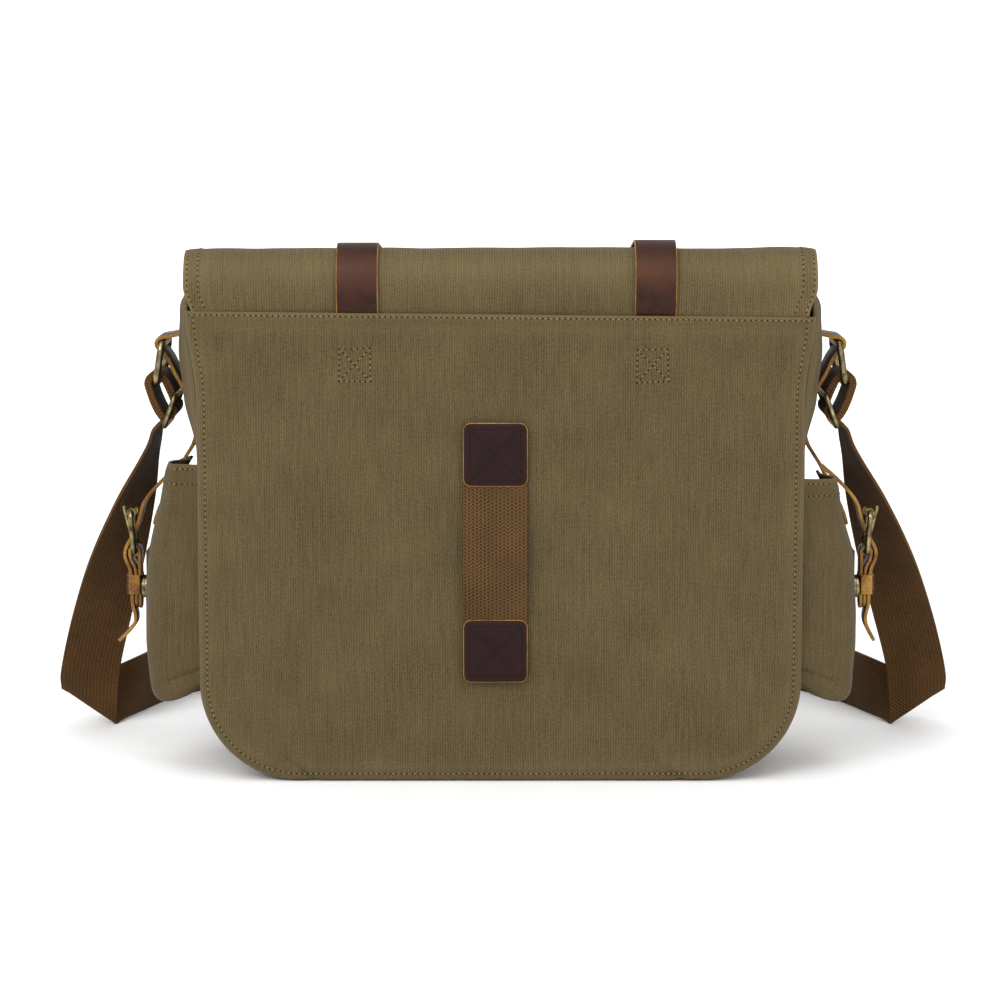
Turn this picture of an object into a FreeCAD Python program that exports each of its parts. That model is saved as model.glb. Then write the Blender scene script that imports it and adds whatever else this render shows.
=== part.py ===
import FreeCAD, Part
import math
import os

from FreeCAD import Matrix
from FreeCAD import Vector as V

# A canvas messenger bag, in millimetres. It stands on its base: +Z is up, the flap and its
# buckles are on the -Y side, the plain back panel is on the +Y side, and "right" is +X.
# The origin is the middle of the base's underside.

# ---- driving dimensions -------------------------------------------------------------------
BODY_WIDTH = 362.0
BODY_DEPTH = 110.0
RIM_HEIGHT = 305.5  # top of the gusset and the front panel
SEAM_HEIGHT = 280.0  # where the flap is sewn under the back panel
CORNER_RADIUS = 60.0  # lower corners of the front and back panels
CANVAS = 2.0  # a canvas wall with its backing
LINING = 1.0
FOAM = 4.0
BOARD = 2.0
LEATHER = 2.2
WEBBING = 2.0
WEBBING_WIDTH = 38.0
GAP = 0.3  # between soft pieces that lie on each other

FLAP_WIDTH = 368.0
FLAP_TOP = 314.0
FLAP_HEM = 96.0  # lower edge of the flap
FLAP_CORNER = 50.0
FLAP_STRAP_WIDTH = 24.5
FLAP_STRAP_X = {"left": -91.0, "right": 84.0}  # sewn a little off the middle
FLAP_BUCKLE_Z = 118.0  # lower bar of the front buckles

FRONT_POCKET_DEPTH = 23.0
FRONT_POCKET_Z = (40.0, 196.0)
FRONT_POCKET_X = (12.0, 166.0)

SIDE_POCKET_Z = (41.0, 184.0)
SIDE_POCKET_HALF = 44.0
SIDE_POCKET_BULGE = 31.0
SIDE_POCKET_MOUTH = 14.0
POCKET_STRAP_WIDTH = 14.0
POCKET_BUCKLE_Z = 132.0

BACK_STRIP_X = 3.0  # webbing strip on the back panel, a little off the middle
BACK_STRIP_Z = (61.0, 215.0)
BACK_STRIP_ARCH = 8.0
PATCH = 38.0

RING_WIRE = 2.1
RING_INSIDE = 40.0
RING_TOP = (203.0, 260.0)  # x and z of the bar held in the leather tab
RING_LOW = (206.5, 237.0)  # x and z of the bar that the shoulder strap hangs on
RING_TAB_WIDTH = 34.0

SLIDER = (198.8, 219.8)  # x and z of the slider's middle bar
SLIDER_TILT = 20.0
SLIDER_HALF = 9.8
SLIDER_WIRE = 1.6

# ---- values worked out from them ----------------------------------------------------------
HALF_WIDTH = BODY_WIDTH / 2
HALF_DEPTH = BODY_DEPTH / 2
WALL_Y = HALF_DEPTH - CANVAS  # inner face of the front and back panels
POCKET_FACE = -HALF_DEPTH - FRONT_POCKET_DEPTH  # front face of the front pockets
FLAP_FACE = POCKET_FACE - 4.5  # outer face of the flap where it lies over the pockets
FLAP_AXIS_BACK = (HALF_DEPTH - 1.0, FLAP_TOP - 1.0)  # y and z of the fold at the back
FLAP_AXIS_FRONT = (-HALF_DEPTH - 4.0, FLAP_TOP - 1.5)  # y and z of the fold at the front
POCKET_OUT = HALF_WIDTH + SIDE_POCKET_BULGE + 2.0  # outer face of a side pocket
POCKET_PLANE = POCKET_OUT + 4.7  # plane that a side buckle's leather tab lies against
POCKET_FOLD = (196.0, 184.0)  # x and z where a pocket strap bends over the pocket's mouth

SIDES = {"left": -1, "right": 1}
parts = {}


# ---- basic shapes -------------------------------------------------------------------------
def block(x0, x1, y0, y1, z0, z1):
    return Part.makeBox(x1 - x0, y1 - y0, z1 - z0, V(x0, y0, z0))


def rod(a, b, radius):
    axis = b - a
    return Part.makeCylinder(radius, axis.Length, a, axis)


def along_x(points_yz, x0, x1):
    """A prism along X with this outline in Y and Z."""
    wire = Part.makePolygon([V(x0, y, z) for y, z in points_yz + points_yz[:1]])
    return Part.Face(wire).extrude(V(x1 - x0, 0, 0))


def along_y(points_xz, y0, y1):
    """A prism along Y with this outline in X and Z."""
    wire = Part.makePolygon([V(x, y0, z) for x, z in points_xz + points_xz[:1]])
    return Part.Face(wire).extrude(V(0, y1 - y0, 0))


def band(path, thickness):
    """The outline of a strip of this thickness whose middle follows a path, mitred at its bends."""
    sides = ([], [])
    for i, (a, b) in enumerate(path):
        normals = []
        for j in (i - 1, i):
            if 0 <= j < len(path) - 1:
                run = V(path[j + 1][0] - path[j][0], path[j + 1][1] - path[j][1], 0).normalize()
                normals.append(V(-run.y, run.x, 0))
        mitre = normals[0] + normals[-1]
        mitre.normalize()
        reach = thickness / 2 / mitre.dot(normals[0])
        for side, sign in zip(sides, (1, -1)):
            side.append((a + sign * reach * mitre.x, b + sign * reach * mitre.y))
    return sides[0] + sides[1][::-1]


def rounded_plate(x0, x1, z0, z1, y0, y1, low_radius, top_radius=0.0):
    """A plate in the XZ plane with its lower corners, and its upper ones if asked, rounded."""
    plate = block(x0, x1, y0, y1, z0, z1)
    for radius, level in ((low_radius, z0), (top_radius, z1)):
        edges = [
            e
            for e in plate.Edges
            if radius
            and e.BoundBox.YLength > (y1 - y0) * 0.9
            and abs(e.BoundBox.ZMin - level) < 1e-6
            and abs(e.BoundBox.ZMax - level) < 1e-6
            and min(abs(e.BoundBox.XMin - x0), abs(e.BoundBox.XMin - x1)) < 1e-6
        ]
        if edges:
            plate = plate.makeFillet(radius, edges)
    return plate


def wire_frame(half_x, half_z, radius, corner_low, corner_top):
    """A closed loop of round wire in the XZ plane, with its upper bar on Z = half_z."""
    corners = [
        (V(-half_x, 0, -half_z), corner_low),
        (V(half_x, 0, -half_z), corner_low),
        (V(half_x, 0, half_z), corner_top),
        (V(-half_x, 0, half_z), corner_top),
    ]
    edges = []
    ends = []
    for i, (corner, bend) in enumerate(corners):
        before = (corners[i - 1][0] - corner).normalize()
        after = (corners[(i + 1) % 4][0] - corner).normalize()
        start = corner + before * bend
        end = corner + after * bend
        middle = corner + (before + after) * bend * (1 - math.sqrt(0.5))
        edges.append(Part.Arc(start, middle, end).toShape())
        ends.append((start, end))
    for i in range(4):
        edges.append(Part.LineSegment(ends[i][1], ends[(i + 1) % 4][0]).toShape())
    path = Part.Wire(Part.__sortEdges__(edges))
    first = path.Edges[0]
    at = first.valueAt(first.FirstParameter)
    tangent = first.tangentAt(first.FirstParameter)
    profile = Part.Wire(Part.makeCircle(radius, at, tangent))
    return Part.Solid(path.makePipeShell([profile], True, False))


def placed(shape, origin, out, turn=0.0):
    """Moves a shape from its own axes (x across, y outwards, z up) to the bag's."""
    up = V(0, 0, 1)
    out = V(*out).normalize()
    across = out.cross(up)
    turned = shape.copy()
    if turn:
        turned.rotate(V(0, 0, 0), V(1, 0, 0), turn)
    rows = [c for k in range(3) for c in (across[k], out[k], up[k], origin[k])]
    return turned.transformGeometry(Matrix(*rows, 0, 0, 0, 1))


def ribbon(stations, thickness):
    """A webbing solid through pairs of edge points, each pair (far edge, near edge)."""
    wires = []
    for i, (far, near) in enumerate(stations):
        before = stations[max(i - 1, 0)]
        after = stations[min(i + 1, len(stations) - 1)]
        run = (after[0] + after[1] - before[0] - before[1]).normalize()
        lift = run.cross(near - far).normalize() * (thickness / 2)
        corners = [far - lift, near - lift, near + lift, far + lift]
        wires.append(Part.makePolygon(corners + corners[:1]))
    return Part.makeLoft(wires, True, True)


def mirrored(shape):
    return shape.mirror(V(0, 0, 0), V(1, 0, 0))


def add(name, *solids):
    parts[name] = solids[0] if len(solids) == 1 else Part.makeCompound(list(solids))


# ---- the bag's body -----------------------------------------------------------------------
def body_outline(inset, y0, y1, top):
    """The front or back outline of the bag, drawn in by inset, as a solid between two depths."""
    return rounded_plate(
        -HALF_WIDTH + inset,
        HALF_WIDTH - inset,
        inset,
        top,
        y0,
        y1,
        CORNER_RADIUS - inset,
    )


def make_body():
    add("back_panel", body_outline(0, WALL_Y, HALF_DEPTH, SEAM_HEIGHT))
    add("front_panel", body_outline(0, -HALF_DEPTH, -WALL_Y, RIM_HEIGHT))
    shell = body_outline(0, -WALL_Y, WALL_Y, RIM_HEIGHT)
    add("gusset", shell.cut(body_outline(CANVAS, -WALL_Y, WALL_Y, RIM_HEIGHT)))

    lining_in = CANVAS + BOARD + GAP  # leaves room for the board under the lining
    side_in = CANVAS + GAP
    lining_back = WALL_Y - FOAM - GAP
    outer = rounded_plate(
        -HALF_WIDTH + side_in,
        HALF_WIDTH - side_in,
        lining_in,
        RIM_HEIGHT,
        -WALL_Y + GAP,
        lining_back,
        CORNER_RADIUS - side_in,
    )
    inner = rounded_plate(
        -HALF_WIDTH + side_in + LINING,
        HALF_WIDTH - side_in - LINING,
        lining_in + LINING,
        RIM_HEIGHT,
        -WALL_Y + GAP + LINING,
        lining_back - LINING,
        CORNER_RADIUS - side_in - LINING,
    )
    add("lining", outer.cut(inner))
    foam_half = HALF_WIDTH - 14
    foam = rounded_plate(-foam_half, foam_half, 14, 274, WALL_Y - FOAM, WALL_Y, 46)
    add("back_foam", foam)
    add("base_board", block(-112, 112, -WALL_Y + 3, WALL_Y - 6, CANVAS, CANVAS + BOARD))

    divider_half = HALF_WIDTH - side_in - LINING - GAP
    divider_y = 20.0
    divider = rounded_plate(
        -divider_half, divider_half, 9, 236, divider_y, divider_y + 5, 55, 12
    )
    add("laptop_divider", divider)
    strap_top = [
        (lining_back - LINING - GAP - 0.8, 262),
        (lining_back - LINING - GAP - 0.8, 246),
        (divider_y + 5, 240),
        (divider_y - 1.6, 240),
        (divider_y - 1.6, 205),
    ]
    add("laptop_strap", along_x(band(strap_top, 1.6), -19, 19))


def make_back_strip():
    """A webbing strip that arches off the back panel between two leather patches."""
    half = WEBBING_WIDTH / 2
    low, high = BACK_STRIP_Z
    lie = HALF_DEPTH + WEBBING / 2
    top = lie + BACK_STRIP_ARCH
    route = [
        (lie, low + 2),
        (lie, low + PATCH - 2),
        (top, low + PATCH + 16),
        (top, high - PATCH - 16),
        (lie, high - PATCH + 2),
        (lie, high - 2),
    ]
    strip = along_x(band(route, WEBBING), BACK_STRIP_X - half, BACK_STRIP_X + half)
    add("back_webbing", strip)
    for name, z in (("back_patch_lower", low), ("back_patch_upper", high - PATCH)):
        y0 = HALF_DEPTH + WEBBING + 0.1
        patch = rounded_plate(
            BACK_STRIP_X - half, BACK_STRIP_X + half, z, z + PATCH, y0, y0 + LEATHER, 5, 5
        )
        add(name, patch.cut(strip))


def make_front_pockets():
    for side, sign in SIDES.items():
        near, far = (sign * v for v in FRONT_POCKET_X)
        x0, x1 = sorted((near, far))
        z0, z1 = FRONT_POCKET_Z
        outer = rounded_plate(x0, x1, z0, z1, POCKET_FACE, -HALF_DEPTH, 12)
        inner = rounded_plate(
            x0 + CANVAS, x1 - CANVAS, z0 + CANVAS, z1, POCKET_FACE + CANVAS, -HALF_DEPTH, 10
        )
        add("front_pocket_" + side, outer.cut(inner))


def pocket_profile(inset):
    """A side pocket seen from the back: narrow at its mouth and full lower down."""
    low, mouth = SIDE_POCKET_Z
    out = POCKET_OUT - inset
    low += inset
    return [
        (HALF_WIDTH, low),
        (HALF_WIDTH, mouth),
        (HALF_WIDTH + SIDE_POCKET_MOUTH - inset, mouth),
        (out - 3, 156),
        (out, 138),
        (out, low + 12),
        (out - 8, low),
    ]


def make_side_pockets():
    patches = []
    for side, sign in SIDES.items():
        half = SIDE_POCKET_HALF
        pocket = along_y(pocket_profile(0), -half, half)
        pocket = pocket.cut(along_y(pocket_profile(CANVAS), -half + CANVAS, half - CANVAS))
        patch = block(POCKET_OUT, POCKET_OUT + 1.5, -12, 12, 96, 134)
        if sign < 0:
            pocket, patch = mirrored(pocket), mirrored(patch)
        add("side_pocket_" + side, pocket)
        patches.append(patch)
    add("pocket_patches", *patches)


# ---- leather tabs, rings and the shoulder strap --------------------------------------------
def make_ring_tabs():
    """A leather strip sewn to the gusset at both ends and folded over the ring's upper bar."""
    half = RING_TAB_WIDTH / 2
    x, z = RING_TOP
    skin = HALF_WIDTH + GAP + 1.0
    loop = RING_WIRE + 0.4
    middle = loop + 1.0
    over = [(skin, 282), (skin, 269), (skin + 6, z + middle), (x, z + middle)]
    under = [(x + 1.2, z - middle + 0.4), (skin + 3, 230), (skin, 224), (skin, 212)]
    pin = Part.makeCylinder(loop + 2.0, 2 * half, V(x, -half, z), V(0, 1, 0))
    hole = Part.makeCylinder(loop, 2 * half, V(x, -half, z), V(0, 1, 0))
    strips = [along_y(band(path, 2.0), -half, half) for path in (over, under)]
    tab = pin.fuse(strips).removeSplitter().cut(hole)
    add("ring_tab_right", tab)
    add("ring_tab_left", mirrored(tab))


def make_rings():
    height = math.hypot(RING_TOP[0] - RING_LOW[0], RING_TOP[1] - RING_LOW[1])
    lean = math.degrees(math.atan2(RING_LOW[0] - RING_TOP[0], RING_TOP[1] - RING_LOW[1]))
    half_x = RING_INSIDE / 2 + RING_WIRE
    frame = wire_frame(half_x, height / 2, RING_WIRE, 5.0, 4.0)
    middle = ((RING_TOP[0] + RING_LOW[0]) / 2, 0, (RING_TOP[1] + RING_LOW[1]) / 2)
    ring = placed(frame, middle, (1, 0, 0), lean)
    add("side_ring_right", ring)
    add("side_ring_left", mirrored(ring))


def slider_frame():
    """A wire slider with a middle bar, upright, with its bars across."""
    half_x = WEBBING_WIDTH / 2 + 1.0 + SLIDER_WIRE
    frame = wire_frame(half_x, SLIDER_HALF, SLIDER_WIRE, 3.0, 3.0)
    bar = rod(V(-half_x, 0, 0), V(half_x, 0, 0), SLIDER_WIRE)
    return frame.fuse(bar).removeSplitter()


def strap_end_loop():
    """Webbing round the ring's lower bar and the slider's middle bar."""
    half = WEBBING_WIDTH / 2
    high = (V(RING_LOW[0], -half, RING_LOW[1] - 1), 4.6)
    low = (V(200.2, -half, 220.3), 3.5)

    def stadium(grow):
        hull = []
        (a, ra), (b, rb) = high, low
        ra, rb = ra + grow, rb + grow
        axis = b - a
        length = axis.Length
        axis.normalize()
        side = V(-axis.z, 0, axis.x)
        lean = (ra - rb) / length  # the two circles' common tangents lean by this sine
        spread = math.sqrt(1 - lean * lean)
        for sign in (1, -1):
            hull.append(axis * lean + side * spread * sign)
        a1, a2 = (a + n * ra for n in hull)
        b1, b2 = (b + n * rb for n in hull)
        edges = [
            Part.LineSegment(a1, b1).toShape(),
            Part.Arc(b1, b + axis * rb, b2).toShape(),
            Part.LineSegment(b2, a2).toShape(),
            Part.Arc(a2, a - axis * ra, a1).toShape(),
        ]
        return Part.Face(Part.Wire(edges)).extrude(V(0, 2 * half, 0))

    return stadium(WEBBING).cut(stadium(0))


# Centre and twist of the webbing from the slider down to the fold, for the right side.
# Twist 0 has the webbing's width along Y, and 90 has it along X.
SIDE_RUN = [
    ((208.8, -5.0, 211.0), 0),
    ((213.5, -17.0, 199.0), 4),
    ((221.5, -31.0, 184.0), 12),
    ((232.5, -46.0, 158.0), 32),
    ((246.0, -67.0, 118.0), 58),
    ((256.0, -85.0, 77.0), 76),
    ((264.0, -99.0, 40.0), 86),
]
# The crease, from the corner on the floor to the outer corner, and then the run that stands
# on its lower edge in front of the bag, as plan points from the crease to the middle.
CREASE = (V(251.0, -109.0, GAP), V(287.0, -107.0, 26.0))
FLOOR_RUN = [
    (241.0, -140.0),
    (226.0, -180.0),
    (204.0, -216.0),
    (170.0, -249.0),
    (122.0, -273.0),
    (64.0, -287.0),
    (0.0, -292.0),
]


def edge_pair(centre, twist):
    across = V(math.sin(math.radians(twist)), math.cos(math.radians(twist)), 0)
    return V(*centre) - across * WEBBING_WIDTH / 2, V(*centre) + across * WEBBING_WIDTH / 2


def between(pair_a, pair_b, share):
    """The pair of edge points that lies this share of the way from one pair to the next."""
    return tuple(a + (b - a) * share for a, b in zip(pair_a, pair_b))


def make_shoulder_strap():
    slider = placed(slider_frame(), (SLIDER[0], 0, SLIDER[1]), (1, 0, 0), SLIDER_TILT)
    loop = strap_end_loop()
    side_pairs = [edge_pair(*station) for station in SIDE_RUN]
    side_pairs.append(between(side_pairs[-1], CREASE, 0.92))
    floor_pairs = [(V(x, y, GAP), V(x, y, GAP + WEBBING_WIDTH)) for x, y in FLOOR_RUN]
    half_run = [between(CREASE, floor_pairs[0], 0.10)] + floor_pairs
    other_half = [tuple(V(-p.x, p.y, p.z) for p in pair) for pair in half_run[-2::-1]]
    side = ribbon(side_pairs, WEBBING)
    add("strap_front", ribbon(half_run + other_half, WEBBING))
    for name, solid in (
        ("strap_slider_", slider),
        ("strap_loop_", loop),
        ("strap_side_", side),
    ):
        add(name + "right", solid)
        add(name + "left", mirrored(solid))


# ---- buckles ------------------------------------------------------------------------------
# A roller buckle with its strap threaded, in its own axes: x across, y out, z up, with its
# lower bar on z = 0 and the surface that its tab lies against on y = 0.
BAR_OUT = 4.3  # the lower bar's distance out from the surface
ROLLER_OUT = 6.0
BAR_SPACING = 24.0
LOOP_IN = 2.0  # inside radius of the leather round the lower bar
LOOP_OUT = 4.0
TAB_LENGTH = 36.0
SLOT_HALF = 2.5
PRONG_WIDTH = 4.0
PRONG_ROD = 1.2
BUCKLE_WIRE = 1.7
ROLLER_RADIUS = 2.9
RUNNING = 0.06  # clearance of a part that turns on the wire
THREADED = [(1.4, 19.0), (9.7, 2.5), (9.7, -4.0), (6.4, -12.0)]
STRAP_END = -54.0


def buckle_frame(inside):
    half_x = inside / 2 + BUCKLE_WIRE
    rise = ROLLER_OUT - BAR_OUT
    height = math.hypot(BAR_SPACING, rise)
    frame = wire_frame(half_x, height / 2, BUCKLE_WIRE, 2.6, 2.6)
    frame.translate(V(0, 0, height / 2))
    frame.rotate(V(0, 0, 0), V(1, 0, 0), -math.degrees(math.atan2(rise, BAR_SPACING)))
    frame.translate(V(0, BAR_OUT, 0))
    return frame


def buckle_roller(inside):
    half = inside / 2 - 1.6
    a = V(-half, ROLLER_OUT, BAR_SPACING)
    b = V(half, ROLLER_OUT, BAR_SPACING)
    return rod(a, b, ROLLER_RADIUS).cut(rod(a, b, BUCKLE_WIRE + RUNNING))


def buckle_prong():
    half = PRONG_WIDTH / 2
    a = V(-half, BAR_OUT, 0)
    b = V(half, BAR_OUT, 0)
    eye = rod(a, b, BUCKLE_WIRE + 1.5)
    rest_out = ROLLER_OUT + ROLLER_RADIUS + PRONG_ROD + 0.15
    aim = V(0, rest_out - BAR_OUT, BAR_SPACING).normalize()
    start = V(0, BAR_OUT, 0)
    shaft = rod(start + aim * 2.4, start + aim * (BAR_SPACING + 3.4), PRONG_ROD)
    tip = Part.makeSphere(PRONG_ROD, start + aim * (BAR_SPACING + 3.4))
    return eye.fuse([shaft, tip]).removeSplitter().cut(rod(a, b, BUCKLE_WIRE + RUNNING))


def buckle_tab(width):
    """The leather tab, folded round the lower bar and slotted for the prong."""
    half = width / 2
    a = V(-half, BAR_OUT, 0)
    b = V(half, BAR_OUT, 0)
    plate = rounded_plate(-half, half, -TAB_LENGTH, 0, GAP, LOOP_OUT + GAP, half * 0.6)
    tab = plate.fuse(rod(a, b, LOOP_OUT)).removeSplitter().cut(rod(a, b, LOOP_IN))
    return tab.cut(block(-SLOT_HALF, SLOT_HALF, -1, 10, -3.6, 6))


def buckle_keeper(width, top=-14.0, length=12.0):
    """A leather band over the tab and the strap's free end."""
    side = width / 2 + GAP
    wall = 1.6
    outer = block(-side - wall, side + wall, GAP, 9.6, top - length, top)
    return outer.cut(block(-side, side, -1, 9.6 - wall, top - length, top))


def snap_stud(low):
    """The magnetic button under the tab, down to the plane y = low."""
    return rod(V(0, low, -22), V(0, GAP, -22), 7.0)


def threaded_strap(width, route):
    """The strap that comes down route, passes under the roller, over the bar and hangs free."""
    free = [(6.4, STRAP_END + 4), (6.4, STRAP_END)]
    path = route + THREADED + free
    half = width / 2
    strap = along_x(band(path, LEATHER), -half, half)
    tip = rounded_plate(-half, half, STRAP_END, 300, -60, 60, half * 0.85)
    hole = block(-1.8, 1.8, 0, 14, 2.0, 14.5)
    return strap.common(tip).cut(hole)


# ---- flap ---------------------------------------------------------------------------------
def flap_route(out):
    """The flap's front part from its upper fold down, set out from the canvas by out."""
    y, z = FLAP_AXIS_FRONT
    face = FLAP_FACE - out
    return [(y - 1.5 - out, z - 4.0), (face, 204.0), (face, FLAP_HEM)]


def make_flap():
    half = FLAP_WIDTH / 2
    rear_y, rear_z = FLAP_AXIS_BACK
    front_y, front_z = FLAP_AXIS_FRONT
    back = block(-half, half, WALL_Y, HALF_DEPTH + 0.5, SEAM_HEIGHT, rear_z - 6.0)
    add("flap_back", back)
    under = FLAP_TOP - CANVAS
    add("flap_top", block(-half, half, front_y + 2.5, rear_y - 2.0, under, FLAP_TOP))
    front = along_x(band(flap_route(-CANVAS / 2), CANVAS), -half, half)
    outline = rounded_plate(-half, half, FLAP_HEM, 400, -200, 0, FLAP_CORNER)
    holes = [front_snap_stud(side) for side in SIDES]
    add("flap_front", front.common(outline).cut(holes))

    backs, tops = [], []
    for side in SIDES:
        x0 = FLAP_STRAP_X[side] - FLAP_STRAP_WIDTH / 2
        x1 = FLAP_STRAP_X[side] + FLAP_STRAP_WIDTH / 2
        y0 = HALF_DEPTH + 0.5
        backs.append(block(x0, x1, y0, y0 + LEATHER, SEAM_HEIGHT + 1, rear_z - 7.5))
        tops.append(block(x0, x1, front_y + 2.5, rear_y - 3.5, FLAP_TOP, FLAP_TOP + LEATHER))
    add("flap_strap_backs", *backs)
    add("flap_strap_tops", *tops)


def front_snap_stud(side):
    """The button that goes through the flap, under the tab of a front buckle."""
    return placed(snap_stud(-2.4), front_buckle_origin(side), (0, -1, 0))


def front_buckle_origin(side):
    return FLAP_STRAP_X[side], FLAP_FACE, FLAP_BUCKLE_Z


def make_front_buckles():
    inside = FLAP_STRAP_WIDTH + 1.6
    tabs, keepers, studs, sockets = [], [], [], []
    lead_out = LEATHER / 2 + 0.1
    upper = flap_route(lead_out)
    route = [
        (FLAP_FACE - upper[0][0], upper[0][1] - FLAP_BUCKLE_Z),
        (FLAP_FACE - upper[1][0], upper[1][1] - FLAP_BUCKLE_Z),
        (lead_out, 60.0),
        (1.4, 30.0),
    ]
    for side in SIDES:
        origin = front_buckle_origin(side)

        def put(shape):
            return placed(shape, origin, (0, -1, 0))

        add("front_strap_" + side, put(threaded_strap(FLAP_STRAP_WIDTH, route)))
        add("front_buckle_" + side, put(buckle_frame(inside)))
        add("front_roller_" + side, put(buckle_roller(inside)))
        add("front_prong_" + side, put(buckle_prong()))
        tabs.append(put(buckle_tab(FLAP_STRAP_WIDTH)))
        keepers.append(put(buckle_keeper(FLAP_STRAP_WIDTH)))
        studs.append(front_snap_stud(side))
        low = POCKET_FACE - 1.8
        seat = V(FLAP_STRAP_X[side], POCKET_FACE, FLAP_BUCKLE_Z - 22)
        sockets.append(rod(seat, V(seat.x, low, seat.z), 8.0))
    add("front_buckle_tabs", *tabs)
    add("front_keepers", *keepers)
    add("front_snap_studs", *studs)
    add("front_snap_sockets", *sockets)


def make_pocket_straps():
    inside = POCKET_STRAP_WIDTH + 1.6
    start = (POCKET_FOLD[0] - POCKET_PLANE, POCKET_FOLD[1] - POCKET_BUCKLE_Z)
    toward = V(1.4 - start[0], 29.0 - start[1], 0).normalize()
    route = [(start[0] + toward.x * 2.5, start[1] + toward.y * 2.5), (1.4, 29.0)]
    skin = HALF_WIDTH + GAP + 1.0
    half = POCKET_STRAP_WIDTH / 2
    down = V(POCKET_FOLD[0] - skin, POCKET_FOLD[1] - 199.0, 0).normalize()
    fixed = [
        (skin, 211.0),
        (skin, 199.0),
        (POCKET_FOLD[0] - down.x * 2.5, POCKET_FOLD[1] - down.y * 2.5),
    ]
    anchor = along_y(band(fixed, 2.0), -half, half)
    sockets = []
    for side, sign in SIDES.items():
        origin = (sign * POCKET_PLANE, 0, POCKET_BUCKLE_Z)

        def put(shape):
            return placed(shape, origin, (sign, 0, 0))

        add("pocket_strap_" + side, put(threaded_strap(POCKET_STRAP_WIDTH, route)))
        add("pocket_buckle_" + side, put(buckle_frame(inside)))
        add("pocket_roller_" + side, put(buckle_roller(inside)))
        add("pocket_prong_" + side, put(buckle_prong()))
        tab = put(buckle_tab(POCKET_STRAP_WIDTH))
        keeper = put(buckle_keeper(POCKET_STRAP_WIDTH))
        add("pocket_tab_" + side, tab, keeper)
        add("pocket_stud_" + side, put(snap_stud(-1.4)))
        add("pocket_anchor_" + side, anchor if sign > 0 else mirrored(anchor))
        z = POCKET_BUCKLE_Z - 22
        face = POCKET_OUT + 1.5
        sockets.append(rod(V(sign * face, 0, z), V(sign * (face + 1.5), 0, z), 7.0))
    add("pocket_snap_sockets", *sockets)


def main():
    make_body()
    make_back_strip()
    make_front_pockets()
    make_side_pockets()
    make_ring_tabs()
    make_rings()
    make_shoulder_strap()
    make_flap()
    make_front_buckles()
    make_pocket_straps()
    os.makedirs("parts", exist_ok=True)
    for name, shape in parts.items():
        if not shape.isValid() or shape.Volume <= 0:
            print("check this shape:", name, shape.isValid(), round(shape.Volume, 1))
        shape.exportStep(os.path.join("parts", name + ".step"))
    print(len(parts), "nodes written")


main()
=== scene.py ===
import math

import bmesh
import bpy
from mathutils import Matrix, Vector, noise


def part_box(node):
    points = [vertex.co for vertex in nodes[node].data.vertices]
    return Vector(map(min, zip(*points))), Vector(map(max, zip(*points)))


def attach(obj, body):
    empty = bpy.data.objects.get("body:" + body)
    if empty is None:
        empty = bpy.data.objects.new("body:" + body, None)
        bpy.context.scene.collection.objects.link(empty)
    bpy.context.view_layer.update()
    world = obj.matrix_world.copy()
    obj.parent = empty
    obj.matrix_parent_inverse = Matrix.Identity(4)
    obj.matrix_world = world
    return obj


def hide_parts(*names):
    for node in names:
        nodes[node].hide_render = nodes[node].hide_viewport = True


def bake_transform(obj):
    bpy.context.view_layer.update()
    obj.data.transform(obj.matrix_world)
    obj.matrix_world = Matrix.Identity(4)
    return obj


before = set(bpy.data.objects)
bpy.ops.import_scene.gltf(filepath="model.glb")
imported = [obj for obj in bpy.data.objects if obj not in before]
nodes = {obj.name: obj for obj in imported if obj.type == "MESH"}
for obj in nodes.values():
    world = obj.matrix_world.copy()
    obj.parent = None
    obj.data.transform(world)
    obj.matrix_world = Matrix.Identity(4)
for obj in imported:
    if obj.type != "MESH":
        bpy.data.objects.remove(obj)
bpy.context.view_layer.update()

# A canvas messenger bag over its CAD frame, in metres: it stands on z = 0, the flap and its
# buckles are on -Y, the plain back panel is on +Y.

mm = 0.001
sides = {"left": -1, "right": 1}
insideBag = Vector((0, 0, 0.15))

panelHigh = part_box("back_panel")[1]
frontLow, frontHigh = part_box("front_panel")
bodyHalf = panelHigh.x
backFace = panelHigh.y
frontFace = frontLow.y
seamTop = panelHigh.z
rimTop = frontHigh.z
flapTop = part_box("flap_top")[1].z
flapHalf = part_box("flap_front")[1].x + 1.8 * mm


# small helpers
def smooth(low, high, value):
    t = min(max((value - low) / (high - low), 0), 1)
    return t * t * (3 - 2 * t)


def hump(value, middle, width):
    return math.exp(-(((value - middle) / width) ** 2))


def ripple(x, y, z, size, seed):
    # soft folds about this many metres long, from -1 to 1
    return noise.noise(Vector((x / size + seed, y / size, z / size - seed)))


def spread(count, gather):
    # from 0 to 1, gathered towards both ends by the share given
    steps = []
    for i in range(count + 1):
        t = i / count
        steps.append(t * (1 - gather) + (0.5 - 0.5 * math.cos(math.pi * t)) * gather)
    return steps


def spreadBoth(count, gather):
    # the same from -1 to 1
    return [2 * t - 1 for t in spread(count, gather)]


def spline(a, b, c, d, t):
    # a smooth curve from b to c, with a and d beyond them
    return 0.5 * (
        2 * b + (c - a) * t + (2 * a - 5 * b + 4 * c - d) * t**2 + (3 * b - a - 3 * c + d) * t**3
    )


def withEnds(line):
    # a line with one point more at both ends, straight on
    return [line[0] * 2 - line[1]] + line + [line[-1] * 2 - line[-2]]


def lengthsAlong(points):
    travelled = [0.0]
    for a, b in zip(points, points[1:]):
        travelled.append(travelled[-1] + (b - a).length)
    return travelled


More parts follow.
